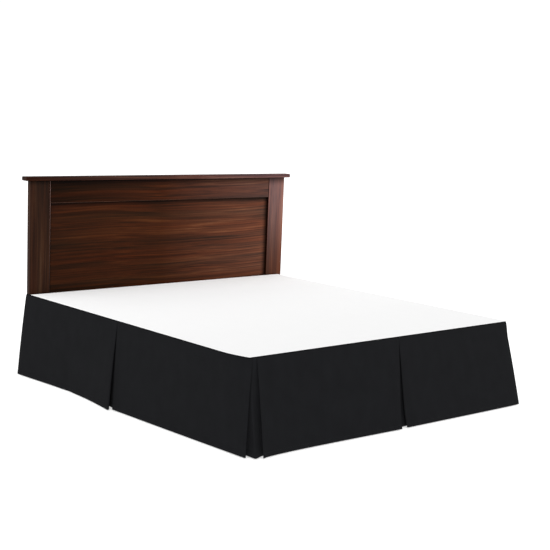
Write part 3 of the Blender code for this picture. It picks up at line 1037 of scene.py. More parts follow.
class MeshMaker:
    """Turns points and faces into a finished piece that rides on the bed."""

    @staticmethod
    def piece(name: str, points: Sequence[Point], faces: Sequence[Sequence[int]],
              material: bpy.types.Material, sharp_degrees: float) -> bpy.types.Object:
        """Make a smooth-shaded mesh object with outward faces.

        Args:
            name: The piece's name.
            points: Vertex places.
            faces: Vertex numbers of each face.
            material: Its finish.
            sharp_degrees: Edges sharper than this stay crisp.

        Returns:
            The new object.
        """
        mesh = bpy.data.meshes.new(name)
        mesh.from_pydata([tuple(map(float, point)) for point in points], [], faces)
        shape = bmesh.new()
        shape.from_mesh(mesh)
        bmesh.ops.recalc_face_normals(shape, faces=shape.faces)
        shape.to_mesh(mesh)
        shape.free()
        mesh.materials.append(material)
        mesh.polygons.foreach_set("use_smooth", [True] * len(mesh.polygons))
        mesh.set_sharp_from_angle(angle=math.radians(sharp_degrees))
        return put(name, mesh)

    @staticmethod
    def cloth_map(item: bpy.types.Object, places: Sequence[Tuple[float, float]]) -> None:
        """Give a piece the UV map that its weave follows.

        Args:
            item: The piece.
            places: Place on the flat cloth, in metres, of each vertex.
        """
        layer = item.data.uv_layers.new(name="cloth")
        flat = np.array(places)[[loop.vertex_index for loop in item.data.loops]]
        layer.data.foreach_set("uv", flat.ravel())

    @staticmethod
    def settle(item: bpy.types.Object, slot: str, *nodes: str) -> None:
        """Let a piece ride on the bed in the place of CAD nodes, and report it.

        Args:
            item: The piece.
            slot: Name of its material slot, which is logged with it.
            *nodes: Nodes that it stands for.
        """
        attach(item, "root")
        if nodes:
            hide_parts(*nodes)
        LOG.info("%s: %d faces, %s", item.name, len(item.data.polygons), slot)


def runs_of(path: Plan) -> np.ndarray:
    """Run along a plan line at each of its points, from 0."""
    steps = np.linalg.norm(np.diff(np.array(path), axis=0), axis=1)
    return np.concatenate(([0.0], np.cumsum(steps)))


def strip(first: Sequence[int], second: Sequence[int]) -> List[Tuple[int, ...]]:
    """Faces between two rows of vertices, from their numbers."""
    return list(zip(first, first[1:], second[1:], second))


def face_lines(path: Plan, outer: float, inner: float) -> Tuple[np.ndarray, np.ndarray]:
    """The two faces of a cloth in plan.

    Args:
        path: Its middle line.
        outer: Distance of the face on the left of the path.
        inner: Distance of the face on the right of the path.

    Returns:
        The points of both faces.
    """
    points = np.array(path)
    step = np.diff(points, axis=0)
    step /= np.linalg.norm(step, axis=1, keepdims=True)
    normals = np.column_stack((-step[:, 1], step[:, 0]))
    before, after = np.vstack((normals[:1], normals)), np.vstack((normals, normals[-1:]))
    offset = (before + after) / (1.0 + (before * after).sum(axis=1, keepdims=True))
    return points + outer * offset, points - inner * offset


@dataclass(frozen=True)
class HangingCloth:
    """One hanging piece of the skirt, lofted through its plan lines.

    outward is +1 where the left of the plan path faces away from the bed, and -1 where it faces in.
    The loft's levels lie close together under the seam, at the pleats' stitching and at the hem.
    """

    name: str
    node: str
    plan_at: Callable[[float], Plan]
    outward: int
    material: bpy.types.Material
    top: float
    hem: float
    shift: float
    thickness: float = 0.0014
    hem_depth: float = 0.022
    hem_extra: float = 0.0009
    stitch_lift: float = 0.00025
    sharp_degrees: float = 75.0
    seam_levels: Tuple[float, ...] = (0.0, 0.003, 0.006, 0.010, 0.015, 0.021, 0.028, 0.037, 0.046, 0.055,
                                      0.07, 0.09)
    middle_start: float = 0.12
    middle_steps: int = 20
    band_step: float = 0.004
    hem_start: float = 0.994

    @property
    def height(self) -> float:
        """Height of the cloth from its hem to its seam."""
        return self.top - self.hem

    @property
    def band(self) -> float:
        """Level where the turned-up hem starts."""
        return 1.0 - self.hem_depth / self.height

    def levels(self) -> List[float]:
        """Levels of the loft.

        Returns:
            The levels, from the seam to the hem.
        """
        band, middle_end = self.band, self.band - 5 * self.band_step
        middle = [mix(self.middle_start, middle_end, step / self.middle_steps)
                  for step in range(self.middle_steps + 1)]
        return [*self.seam_levels, *middle, band - self.band_step, band, band + self.band_step,
                0.5 * (band + 1.0), self.hem_start, 1.0]

    def build(self) -> bpy.types.Object:
        """Make the closed cloth, with its turned-up hem on the inside.

        Returns:
            The piece.
        """
        points, places, rows = [], [], []
        thick = self.thickness / 2
        for level in self.levels():
            path = self.plan_at(level)
            extra = self.hem_extra if level >= self.band else 0.0
            sides = (thick, thick + extra) if self.outward > 0 else (thick + extra, thick)
            if level <= self.band:
                runs = runs_of(path)
            z = mix(self.top, self.hem, level)
            for line in face_lines(path, *sides):
                rows.append(range(len(points), len(points) + len(line)))
                points += [(x, y + self.shift, z) for x, y in line]
                places += [(float(run), self.height * (1.0 - level)) for run in runs]
        item = MeshMaker.piece(self.name, points, self.faces(rows), self.material, self.sharp_degrees)
        MeshMaker.cloth_map(item, places)
        return item

    @staticmethod
    def faces(rows: List[range]) -> List[Tuple[int, ...]]:
        """Faces of the loft, of its top and hem, and of both ends.

        Args:
            rows: Vertex numbers of each level's outer line and inner line in turn.

        Returns:
            Vertex numbers of each face.
        """
        faces = []
        for upper in range(0, len(rows) - 2, 2):
            outer, inner, next_outer, next_inner = rows[upper:upper + 4]
            faces += strip(outer, next_outer) + strip(inner, next_inner)
            faces += [(outer[end], inner[end], next_inner[end], next_outer[end]) for end in (0, -1)]
        return faces + strip(rows[0], rows[1]) + strip(rows[-2], rows[-1])

    def stitch_line(self, height: float) -> List[Tuple[float, float, float]]:
        """A line for stitches on the outer face.

        Args:
            height: Its height above the hem.

        Returns:
            Its points.
        """
        level = 1.0 - height / self.height
        out = self.thickness / 2 + self.stitch_lift
        outer, inner = face_lines(self.plan_at(level), out, out)
        z = mix(self.top, self.hem, level)
        return [(float(x), float(y) + self.shift, z) for x, y in (outer if self.outward > 0 else inner)]


# ---------------------------------------------------------------- Geometry Nodes


class NodeWork(NodeTree):
    """A Geometry Nodes tree that makes stitches, piping or bolts as a plain mesh piece."""

    def __init__(self, name: str, **sizes: float) -> None:
        """Start a tree with a geometry in and out, named sizes and a finish.

        Args:
            name: The tree's name.
            **sizes: Name and default of each size.
        """
        super().__init__(bpy.data.node_groups.new(name, "GeometryNodeTree"))
        sockets = self.tree.interface
        sockets.new_socket("Geometry", in_out="INPUT", socket_type="NodeSocketGeometry")
        for label, value in sizes.items():
            sockets.new_socket(label, in_out="INPUT", socket_type="NodeSocketFloat").default_value = value
        sockets.new_socket("Finish", in_out="INPUT", socket_type="NodeSocketMaterial")
        sockets.new_socket("Geometry", in_out="OUTPUT", socket_type="NodeSocketGeometry")
        self.given = self.add("NodeGroupInput").outputs

    def ended(self, geometry: Socket) -> "NodeWork":
        """End the tree in Realize Instances, smooth shading and Set Material.

        Args:
            geometry: What the tree has made.

        Returns:
            The finished tree.
        """
        for kind in ("RealizeInstances", "SetShadeSmooth", "SetMaterial"):
            node = self.add("GeometryNode" + kind)
            self.feed(node.inputs[0], geometry)
            geometry = node.outputs[0]
        self.feed(node.inputs["Material"], self.given["Finish"])
        self.feed(self.add("NodeGroupOutput").inputs[0], geometry)
        return self

    @classmethod
    def stitches(cls) -> "NodeWork":
        """Stitches laid end to end along a curve, each an elongated bead.

        Returns:
            The tree.
        """
        work = cls("stitches", Pitch=0.0035, Length=0.0026, Width=0.0006)
        given = work.given
        places = work.add("GeometryNodeCurveToPoints", mode="LENGTH", Curve=given["Geometry"],
                          Length=given["Pitch"]).outputs
        turn = work.add("FunctionNodeAlignRotationToVector", axis="X", Vector=places["Tangent"])
        bead = work.add("GeometryNodeMeshIcoSphere", Radius=0.5, Subdivisions=1)
        size = work.add("ShaderNodeCombineXYZ", X=given["Length"], Y=given["Width"], Z=given["Width"])
        copies = work.add("GeometryNodeInstanceOnPoints", Points=places["Points"],
                          Instance=bead.outputs["Mesh"], Rotation=turn.outputs["Rotation"],
                          Scale=size.outputs["Vector"])
        return work.ended(copies.outputs["Instances"])

    @classmethod
    def piping(cls) -> "NodeWork":
        """A round cord along a curve.

        Returns:
            The tree.
        """
        work = cls("piping", Radius=0.003)
        ring = work.add("GeometryNodeCurvePrimitiveCircle", Resolution=10, Radius=work.given["Radius"])
        body = work.add("GeometryNodeCurveToMesh", Curve=work.given["Geometry"],
                        Profile_Curve=ring.outputs["Curve"])
        return work.ended(body.outputs["Mesh"])

    @classmethod
    def bolts(cls) -> "NodeWork":
        """A round bolt head at each point, facing the foot of the bed.

        Returns:
            The tree.
        """
        work = cls("bolts", Radius=0.009, Height=0.005)
        head = work.add("GeometryNodeMeshCylinder", Vertices=18, Radius=work.given["Radius"],
                        Depth=work.given["Height"])
        copies = work.add("GeometryNodeInstanceOnPoints", Points=work.given["Geometry"],
                          Instance=head.outputs["Mesh"], Rotation=(math.pi / 2, 0.0, 0.0))
        return work.ended(copies.outputs["Instances"])

    def run(self, name: str, base: bpy.types.Object, finish: bpy.types.Material,
            **sizes: float) -> bpy.types.Object:
        """Turn what the tree makes of an object into a plain mesh piece.

        Args:
            name: The piece's name.
            base: Curve or mesh that the tree starts from, removed afterwards.
            finish: The piece's material.
            **sizes: Named sizes that differ from the tree's own.

        Returns:
            The mesh object.
        """
        modifier = base.modifiers.new("work", "NODES")
        modifier.node_group = self.tree
        inputs = {"Finish": finish, **sizes}
        for socket in self.tree.interface.items_tree:
            if socket.in_out == "INPUT" and socket.name in inputs:
                modifier[socket.identifier] = inputs[socket.name]
        bpy.context.view_layer.update()
        ready = base.evaluated_get(bpy.context.evaluated_depsgraph_get())
        mesh = bpy.data.meshes.new_from_object(ready)
        mesh.name = name
        base.modifiers.remove(modifier)
        bpy.data.objects.remove(base, do_unlink=True)
        return put(name, mesh)

    @staticmethod
    def curve(name: str, lines: Sequence[Sequence[Point]], closed: bool = False) -> bpy.types.Object:
        """A curve object with one straight-sided spline for each line of points.

        Args:
            name: The object's name.
            lines: The lines of points.
            closed: Whether each spline runs back to its start.

        Returns:
            The curve object.
        """
        data = bpy.data.curves.new(name, "CURVE")
        data.dimensions = "3D"
        for line in lines:
            spline = data.splines.new("POLY")
            spline.points.add(len(line) - 1)
            spline.points.foreach_set("co", [value for point in line for value in (*point, 1.0)])
            spline.use_cyclic_u = closed
        return put(name, data)


# ---------------------------------------------------------------- the skirt


@dataclass
class BedSkirt:
    """The white deck and the black drops with their pleats, seams and stitching.

    The deck's cloth has foot_rows close rows over its last foot_band, where its seam puckers it, and
    head_rows over the rest. Its stitches start edge_stitch_start from the head and lie
    edge_stitch_inset inside the seam. Each row of gathers has a spacing, and how soon it changes.
    """

    deck_inset: float = 0.003
    gap: float = 0.0003
    seam_line: float = 0.004
    deck_thickness: float = 0.0012
    deck_sink: float = 0.0001
    deck_columns: int = 64
    head_rows: int = 70
    foot_rows: int = 16
    foot_band: float = 0.06
    foot_power: float = 1.6
    edge_steps: int = 30
    deck_sharp_degrees: float = 60.0
    side_gathers: Tuple[float, float] = (150.0, 23.0)
    foot_gathers: Tuple[float, float] = (140.0, 19.0)
    hem_stitch_down: float = 0.002
    edge_stitch_steps: int = 60
    edge_stitch_start: float = 0.004
    edge_stitch_inset: float = 0.009
    edge_stitch_lift: float = 0.0004

    def __post_init__(self) -> None:
        """Read the deck's place from the frame, and prepare the skirt's lines, finishes and cloths."""
        low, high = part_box("deck")
        self.deck_top = high[2]
        self.half_width = high[0] + self.deck_inset
        self.shift = (high[1] + low[1] - self.deck_inset) / 2
        self.half_length = high[1] - self.shift
        self.top = low[2] - self.gap
        self.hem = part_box("drop_foot")[0][2]
        self.lines = self.skirt_lines()
        drop = self.top - self.hem
        # seam_shade darkens the black cloth toward the seam: painted shade.
        black = {"dark": (0.0056, 0.0057, 0.0064), "light": (0.0086, 0.0089, 0.0100), "roughness": 0.95,
                 "specular": 0.02, "sheen": 0.01, "thread": 0.0009, "relief": 0.0004,
                 "seam_at": drop - self.seam_line, "seam_shade": 0.6}
        self.black = WovenCloth("black_microfibre", **black).build()
        # The corner cloth carries painted light and shade where the pleat opens.
        self.shaded_corner_black = CornerCloth("corner_microfibre_painted_shade", height=drop, **black).build()
        # The deck's cloth is darker toward the foot: painted shade.
        self.white = PlatformCloth("white_platform_cloth", dark=grey(0.965), light=grey(0.985),
                                   roughness=0.95, specular=0.05, sheen=0.0, thread=0.0012,
                                   relief=0.0003).build()
        self.black_thread = Thread("black_thread", (0.02, 0.02, 0.021)).build()
        self.white_thread = Thread("white_thread", (0.80, 0.80, 0.79)).build()
        self.cloths = self.hanging_cloths()

    def skirt_lines(self) -> SkirtLines:
        """The lines of this skirt, with the near corner on the left.

        Returns:
            The lines.
        """
        return SkirtLines(
            half_width=self.half_width, half_length=self.half_length, hang=Hang(),
            side_pleat=Pleat(top=0.066, hem=0.001, opening=0.0003, inner_out=0.046, bow=0.008),
            foot_pleat=Pleat(top=0.069, hem=0.0185, opening=0.0215, inner_out=0.084, bow=0.0085, kick=0.016),
            head_ends={Side.LEFT: (1.050, 0.974), Side.RIGHT: (1.027, 0.974)},
            head_panels={
                Side.LEFT: FrontPanel(far_out=0.095, near_out=0.0935, dish=0.034, dish_at=0.57,
                                      crease_at=0.54, crease_depth=0.004, crease_width=0.05),
                Side.RIGHT: FrontPanel(far_out=0.095, near_out=0.0935, dish=0.034, dish_at=0.57),
            },
            side_foot=FrontPanel(far_out=0.068, near_out=0.024, dish=-0.002, dish_at=0.50),
            foot_panels={
                Side.LEFT: FrontPanel(far_out=0.111, near_out=0.117, dish=0.0165, dish_at=0.26),
                Side.RIGHT: FrontPanel(far_out=0.119, near_out=0.113, dish=-0.004, dish_at=0.25),
            },
            corners={
                Side.LEFT: CornerPleat(
                    draw=0.030, run=0.16, side_end=0.9165, foot_end=0.8890, side_out=0.024, side_past=0.056,
                    foot_across=0.919, foot_out=0.111,
                    side_return=(0.963, -0.975), foot_return=(0.845, -1.077),
                    underlay=((0.959, -0.965), (0.956, -1.096), (0.900, -1.075), (0.845, -1.0725))),
                Side.RIGHT: CornerPleat(
                    draw=0.003, run=0.05, side_end=0.9460, foot_end=0.9435, side_out=0.025, side_past=0.075,
                    foot_across=0.970, foot_out=0.119,
                    side_return=(0.964, -0.995), foot_return=(0.888, -1.085),
                    underlay=((0.960, -0.985), (0.9585, -1.103), (0.900, -1.0775), (0.860, -1.0725))),
            })

    def hanging_cloths(self) -> List[HangingCloth]:
        """The drops and the cloths behind the corner pleats.

        Returns:
            The cloths, in the order in which they are built.
        """
        rows = []
        for side in Side:
            rows.append((f"side_drop_{side.label}", f"drop_{side.label}",
                         self.mirrored(self.lines.side_drop, side), -side.value, self.black))
            rows.append((f"corner_cloth_{side.label}", f"corner_underlay_{side.label}",
                         self.mirrored(self.lines.underlay, side), -side.value, self.shaded_corner_black))
        rows.append(("foot_drop", "drop_foot", self.lines.foot_drop, -1, self.black))
        return [HangingCloth(*row, self.top, self.hem, self.shift) for row in rows]

    @staticmethod
    def mirrored(plan: Callable[[Side, float], Plan], side: Side) -> Callable[[float], Plan]:
        """A side's plan line with its places across turned into X."""
        return lambda level: [np.array((side.value * across, along)) for across, along in plan(side, level)]

    def build_drops(self) -> None:
        for cloth in self.cloths:
            item = cloth.build()
            MeshMaker.settle(item, "skirt_black", cloth.node)
            width = float(runs_of(cloth.plan_at(0.0))[-1])

    def build_deck(self) -> None:
        """Build the white deck with slight puckers along its seam."""
        edges = {}
        for side in Side:
            corner = self.lines.corners[side]
            seam = self.lines.seam(corner, self.half_length, self.edge_steps, self.deck_inset)
            edges[side] = [station[0] for station in seam[:-self.lines.last_steps]]
        foot = -(self.half_length - self.deck_inset)
        alongs = [mix(self.half_length, foot + self.foot_band, step / self.head_rows)
                  for step in range(self.head_rows)]
        alongs += [foot + self.foot_band * (1.0 - step / self.foot_rows) ** self.foot_power
                   for step in range(self.foot_rows + 1)]
        points, places = [], []
        for lift in (0.0, -self.deck_thickness):
            for along in alongs:
                left, right = (self.edge_at(side, along, edges[side]) for side in Side)
                for column in range(self.deck_columns + 1):
                    x = mix(left, right, column / self.deck_columns)
                    raised = (self.gathers(min(x - left, right - x), along, *self.side_gathers)
                              + self.gathers(along - foot, x, *self.foot_gathers))
                    points.append((x, along + self.shift, self.deck_top - self.deck_sink + lift + raised))
                    places.append((x, along))
        faces = self.deck_faces(len(alongs), self.deck_columns + 1)
        item = MeshMaker.piece("deck_cloth", points, faces, self.white, self.deck_sharp_degrees)
        MeshMaker.cloth_map(item, places)
        MeshMaker.settle(item, "platform_white", "deck")

    @staticmethod
    def edge_at(side: Side, along: float, edge: Plan) -> float:
        """X of the deck's edge on a side.

        Args:
            side: The side.
            along: Place along the bed.
            edge: The side's edge line.

        Returns:
            The place on X.
        """
        alongs = [-point[1] for point in edge]
        return float(np.interp(-along, alongs, [point[0] for point in edge])) * side.value

    @staticmethod
    def gathers(near: float, run: float, waves: float, drift: float) -> float:
        """Height of the small gathers that a seam leaves in the cloth beside it.

        Args:
            near: Distance from the seam.
            run: Place along the seam.
            waves: How close together the gathers lie, in radians for each metre.
            drift: How soon their spacing changes, in radians for each metre.

        Returns:
            The height.
        """
        tallest, fade, flat_edge, sway = 0.0004, 0.02, 0.004, 1.5
        ripple = 0.5 + 0.5 * math.sin(run * waves + sway * math.sin(run * drift))
        return tallest * ripple * math.exp(-near / fade) * min(1.0, near / flat_edge)

    @staticmethod
    def deck_faces(rows: int, columns: int) -> List[Tuple[int, ...]]:
        """Faces of the deck's two sides and of its thin edge.

        Args:
            rows: Number of rows of points on each side.
            columns: Number of points in a row.

        Returns:
            Vertex numbers of each face.
        """
        under = rows * columns
        lines = [list(range(start, start + columns)) for start in range(0, 2 * under, columns)]
        faces = []
        for sheet in (lines[:rows], lines[rows:]):
            for line, following in zip(sheet, sheet[1:]):
                faces += strip(line, following)
        rim = lines[0] + [line[-1] for line in lines[1:rows]] + lines[rows - 1][-2::-1]
        rim += [line[0] for line in lines[rows - 2::-1]]
        return faces + strip(rim, [number + under for number in rim])

    def build_stitching(self) -> None:
        """Sew the hems and the deck's edge."""
        stitches = NodeWork.stitches()
        for cloth in self.cloths:
            line = cloth.stitch_line(cloth.hem_depth - self.hem_stitch_down)
            base = NodeWork.curve(f"{cloth.name}_hem_line", [line])
            item = stitches.run(f"{cloth.name}_hem_stitches", base, self.black_thread)
            MeshMaker.settle(item, "skirt_black")
        z = self.deck_top + self.edge_stitch_lift
        sides = []
        for side in Side:
            seam = self.lines.seam(self.lines.corners[side], self.half_length - self.edge_stitch_start,
                                   self.edge_stitch_steps, self.edge_stitch_inset)
            sides.append([(side.value * point[0], point[1] + self.shift, z) for point, _ in seam])
        base = NodeWork.curve("deck_edge_line", [sides[0] + sides[1][::-1]])
        item = stitches.run("deck_edge_stitches", base, self.white_thread)
        MeshMaker.settle(item, "platform_white")


# ---------------------------------------------------------------- what the skirt lies on


@dataclass
class BoxSpring:
    """The covered box spring with rounded edges and corners, piped along its lower and upper edges."""

    edge: float = 0.012
    edge_steps: int = 4
    corner: float = 0.09
    corner_steps: int = 8
    pipe_radius: float = 0.0032
    pipe_out: float = 0.001
    sharp_degrees: float = 40.0

    def __post_init__(self) -> None:
        """Read the box spring's place from the frame and make its cover."""
        self.low, self.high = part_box("box_spring")
        self.cover = WovenCloth("spring_cover", dark=(0.62, 0.61, 0.58), light=(0.72, 0.71, 0.68),
                                roughness=0.9, specular=0.2, sheen=0.0, thread=0.0016,
                                relief=0.0005).build()

    def build(self) -> None:
        """Build the covered block and its piping."""
        rounding = []
        for step in range(self.edge_steps + 1):
            turn = math.pi / 2 * step / self.edge_steps
            rounding.append((self.edge * (1 - math.cos(turn)), self.edge * (1 - math.sin(turn))))
        tall = self.high[2] - self.low[2]
        rings, places = [], []
        for up, inset in rounding + [(tall - up, inset) for up, inset in reversed(rounding)]:
            ring = self.ring(inset)
            run = 0.0
            for number, (x, y) in enumerate(ring):
                run += math.dist(ring[number - 1], (x, y)) if number else 0.0
                places.append((run, up))
            rings.append([(x, y, self.low[2] + up) for x, y in ring])
        points = [point for ring in rings for point in ring]
        item = MeshMaker.piece("spring_block", points, self.faces(len(rings), len(rings[0])), self.cover,
                               self.sharp_degrees)
        MeshMaker.cloth_map(item, places)
        MeshMaker.settle(item, "box_spring_cover", "box_spring")
        pipes = [[(x, y, z) for x, y in self.ring(-self.pipe_out)]
                 for z in (self.low[2] + self.edge, self.high[2] - self.edge)]
        base = NodeWork.curve("piping_line", pipes, closed=True)
        item = NodeWork.piping().run("spring_piping", base, self.cover, Radius=self.pipe_radius)
        item.data.uv_layers.new(name="cloth")
        MeshMaker.settle(item, "box_spring_cover")

    @staticmethod
    def faces(rings: int, count: int) -> List[Tuple[int, ...]]:
        """Faces of the block.

        Args:
            rings: Number of rings of points, from the bottom up.
            count: Number of points in a ring.

        Returns:
            Vertex numbers of each face, the bottom and the top first.
        """
        rows = [[*range(start, start + count), start] for start in range(0, rings * count, count)]
        faces = [tuple(rows[0][:-1]), tuple(rows[-1][:-1])]
        for low, high in zip(rows, rows[1:]):
            faces += strip(low, high)
        return faces

    def ring(self, inset: float) -> List[Tuple[float, float]]:
        """Rounded rectangle around the box spring.

        Args:
            inset: How far it lies inside the box spring's sides.

        Returns:
            Its points.
        """
        points = []
        corners = ((self.high[0], self.high[1], 0), (self.low[0], self.high[1], 1),
                   (self.low[0], self.low[1], 2), (self.high[0], self.low[1], 3))
        middle = (self.low[1] + self.high[1]) / 2
        for x, y, quarter in corners:
            centre = (x - math.copysign(self.corner, x), y - math.copysign(self.corner, y - middle))
            for step in range(self.corner_steps + 1):
                turn = math.pi / 2 * (quarter + step / self.corner_steps)
                points.append((centre[0] + (self.corner - inset) * math.cos(turn),
                               centre[1] + (self.corner - inset) * math.sin(turn)))
        return points


@dataclass
class SteelFrame:
    """The steel frame under the box spring, and the bolts of its headboard brackets.

    A bolt lies bolt_in from its bracket's outer side, bolt_ahead in front of it and bolt_end from
    the bracket's lower or upper end.
    """

    bolt_in: float = 0.052
    bolt_ahead: float = 0.0026
    bolt_end: float = 0.025
    bolt_sharp_degrees: float = 40.0

    def __post_init__(self) -> None:
        """Make the frame's finishes."""
        self.paint = Enamel("frame_paint", dark=(0.030, 0.030, 0.032), light=(0.055, 0.055, 0.058),
                            roughness=0.42, metallic=0.6, speckle=500.0).build()
        self.plastic = Enamel("glide_plastic", dark=grey(0.018), light=grey(0.032),
                              roughness=0.55, metallic=0.0, speckle=900.0).build()
        self.zinc = Enamel("bolt_zinc", dark=(0.45, 0.45, 0.46), light=(0.62, 0.62, 0.63),
                           roughness=0.35, metallic=1.0, speckle=700.0).build()

    def build(self) -> None:
        """Dress the frame's nodes and add the bracket bolts."""
        for name, node in frame["nodes"].items():
            if name.startswith(("side_rail", "cross_rail", "leg", "bracket")):
                self.dress(node, self.paint)
            if name.startswith("glide"):
                self.dress(node, self.plastic)
        points = []
        for side in Side:
            low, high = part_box(f"bracket_{side.label}")
            outer = low[0] if side is Side.LEFT else high[0]
            points += [(outer - side.value * self.bolt_in, low[1] - self.bolt_ahead, z)
                       for z in (low[2] + self.bolt_end, high[2] - self.bolt_end)]
        mesh = bpy.data.meshes.new("bolt_places")
        mesh.from_pydata(points, [], [])
        item = NodeWork.bolts().run("bracket_bolts", put("bolt_places", mesh), self.zinc)
        item.data.set_sharp_from_angle(angle=math.radians(self.bolt_sharp_degrees))
        MeshMaker.settle(item, "frame_steel")

    @staticmethod
    def dress(node: bpy.types.Object, material: bpy.types.Material) -> None:
        """Give a CAD node a finish.

        Args:
            node: The node's object.
            material: The finish.
        """
        if node.material_slots:
            node.material_slots[0].material = material
        else:
            node.data.materials.append(material)


@dataclass(frozen=True)
class Board:
    """One board of the headboard.

    Its arrises that face the highlight direction take the bare colours, a painted highlight, and its faces
    that face the shade direction, where it frames the panel, take a dark painted shade. Its colours across
    the bed are painted light and shade. A row of bands of painted shade, on the board, or of highlight fades,
    which dim the painted highlight on its arrises, is an axis, a place from the board's high end on that
    axis, a reach and the darkest colour.
    """

    node: str
    grain: Grain
    edge: float
    seed: float
    figure: float
    light_and_shade_colours: Tuple[Colour, Colour, Colour]
    worn: Tuple[float, float, float] = (0.0, 0.0, 0.0)
    shadowed_side: Tuple[float, float, float] = (0.0, 0.0, 0.0)
    bare: Tuple[Colour, Colour, Colour] = (grey(1.0),) * 3
    painted_shades: Tuple[Tuple[str, float, float, Colour], ...] = ()
    highlight_fades: Tuple[Tuple[str, float, float, Colour], ...] = ()


# Painted light and shade: each board's colours darken toward the bed's left and take a painted sheen toward
# its right, its bands of painted shade stand for the shadows under the cap and the frieze and beside the
# posts and darken the right post toward the bottom, and its bright arris colours are a painted highlight.
BOARDS = (
    Board("post_left", Grain.UPRIGHT, edge=0.004, seed=46.1, figure=1.2,
          light_and_shade_colours=((0.51, 0.67, 1.12), (0.6, 0.8, 1.2), (1.0, 1.0, 1.0)),
          worn=(0.7, -0.7, 0.0), bare=((12.0, 25.0, 64.0),) * 3,
          painted_shades=(("Z", 0.0, 0.035, grey(0.45)),), highlight_fades=(("Z", -0.68, -0.68, grey(0.1)),)),
    Board("post_right", Grain.UPRIGHT, edge=0.003, seed=11.8, figure=0.65,
          light_and_shade_colours=((1.0, 1.0, 1.0), (1.0, 1.0, 1.0), (4.5, 7.9, 20.5)), shadowed_side=(-1.0, 0.0, 0.0),
          painted_shades=(("Z", 0.0, 0.060, grey(0.30)), ("Z", -0.68, -0.68, (0.40, 0.27, 0.18)))),
    Board("frieze_rail", Grain.ACROSS, edge=0.004, seed=29.2, figure=1.0,
          light_and_shade_colours=((0.25, 0.21, 0.10), (0.92, 0.84, 0.88), (2.5, 3.9, 8.6)),
          worn=(0.0, -0.7, -0.7), bare=((1.7, 3.4, 7.5), (3.0, 4.4, 7.5), (1.0, 1.2, 1.5)),
          shadowed_side=(0.0, 0.0, -1.0), painted_shades=(("Z", 0.0, 0.050, grey(0.25)),)),
    Board("bottom_rail", Grain.ACROSS, edge=0.003, seed=5.1, figure=1.2,
          light_and_shade_colours=(grey(0.5), grey(0.9), (2.0, 2.5, 4.0))),
    Board("recessed_panel", Grain.ACROSS, edge=0.0005, seed=16.9, figure=1.0,
          light_and_shade_colours=((0.50, 0.52, 0.55), (0.92, 0.88, 0.90), (2.65, 3.4, 5.9)),
          painted_shades=(("Z", 0.0, 0.036, grey(0.20)), ("X", 0.0, 0.045, grey(0.10)),
                 ("X", -1.70, -0.020, grey(0.3)))),
    Board("cap_rail", Grain.ACROSS, edge=0.005, seed=43.7, figure=1.0,
          light_and_shade_colours=((0.38, 0.34, 0.42), (1.13, 1.7, 3.8), (2.2, 4.2, 13.0))),
)


@dataclass
class Headboard:
    """The panelled wooden headboard, board by board.

    A face takes a finish where its normal points along the finish's direction by more than a share.
    """

    boards: Tuple[Board, ...] = BOARDS
    edge_steps: int = 4
    shadowed_share: float = 0.98
    worn_share: float = 0.9

    def __post_init__(self) -> None:
        """Make the dark painted shade for the faces that lie in shadow."""
        self.shadow_paint = WalnutStain("dark_painted_shade", Grain.UPRIGHT, ((0.15, 0.12, 0.10),) * 3, seed=3.0,
                                 specular=0.0).build()

    def build(self) -> None:
        """Build every board in the place of its node."""
        for board in self.boards:
            low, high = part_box(board.node)
            # The board's colours carry painted light and shade, the second material is the painted highlight
            # on its arrises and the third the dark painted shade.
            stain = WalnutStain(f"walnut_{board.node}", board.grain, board.light_and_shade_colours, board.seed,
                                self.placed(board.painted_shades, high), board.figure).build()
            worn = WalnutStain(f"worn_{board.node}", board.grain, board.bare, board.seed,
                               self.placed(board.highlight_fades, high)).build()
            mesh = self.eased(board, low, high)
            for material in (stain, worn, self.shadow_paint):
                mesh.materials.append(material)
            item = put(mesh.name, mesh)
            item.modifiers.new("even_shading", "WEIGHTED_NORMAL").keep_sharp = True
            MeshMaker.settle(item, "headboard_wood", board.node)

    def eased(self, board: Board, low: Sequence[float], high: Sequence[float]) -> bpy.types.Mesh:
        """A board's mesh with rounded edges, its faces sorted by finish.

        Args:
            board: The board.
            low: Its low corner.
            high: Its high corner.

        Returns:
            The mesh.
        """
        mesh = bpy.data.meshes.new(board.node + "_board")
        shape = bmesh.new()
        bmesh.ops.create_cube(shape, size=1.0)
        for vertex in shape.verts:
            vertex.co = [mix(low[axis], high[axis], vertex.co[axis] + 0.5) for axis in range(3)]
        bmesh.ops.bevel(shape, geom=shape.edges[:], offset=board.edge, segments=self.edge_steps, profile=0.5,
                        affect="EDGES")
        shape.normal_update()
        for face in shape.faces:
            face.material_index = self.slot_of(face.normal, board)
            face.smooth = True
        shape.to_mesh(mesh)
        shape.free()
        return mesh

    @staticmethod
    def placed(rows: Sequence[Tuple[str, float, float, Colour]], high: Sequence[float]) -> Tuple[Pool, ...]:
        """Pools whose places are measured from a board's high end."""
        ends = dict(zip("XYZ", high))
        return tuple(Pool(axis, ends[axis] + place, reach, darkest) for axis, place, reach, darkest in rows)

    def slot_of(self, normal: Vector, board: Board) -> int:
        """Which finish a face of a board takes.

        Args:
            normal: The face's normal.
            board: The board.

        Returns:
            Number of the material: 0 for the stain, 1 for the painted highlight on the arris and 2 for the
                painted shade.
        """
        if any(board.shadowed_side) and normal.dot(Vector(board.shadowed_side)) > self.shadowed_share:
            return 2
        return 1 if any(board.worn) and normal.dot(Vector(board.worn)) > self.worn_share else 0


# ---------------------------------------------------------------- the studio


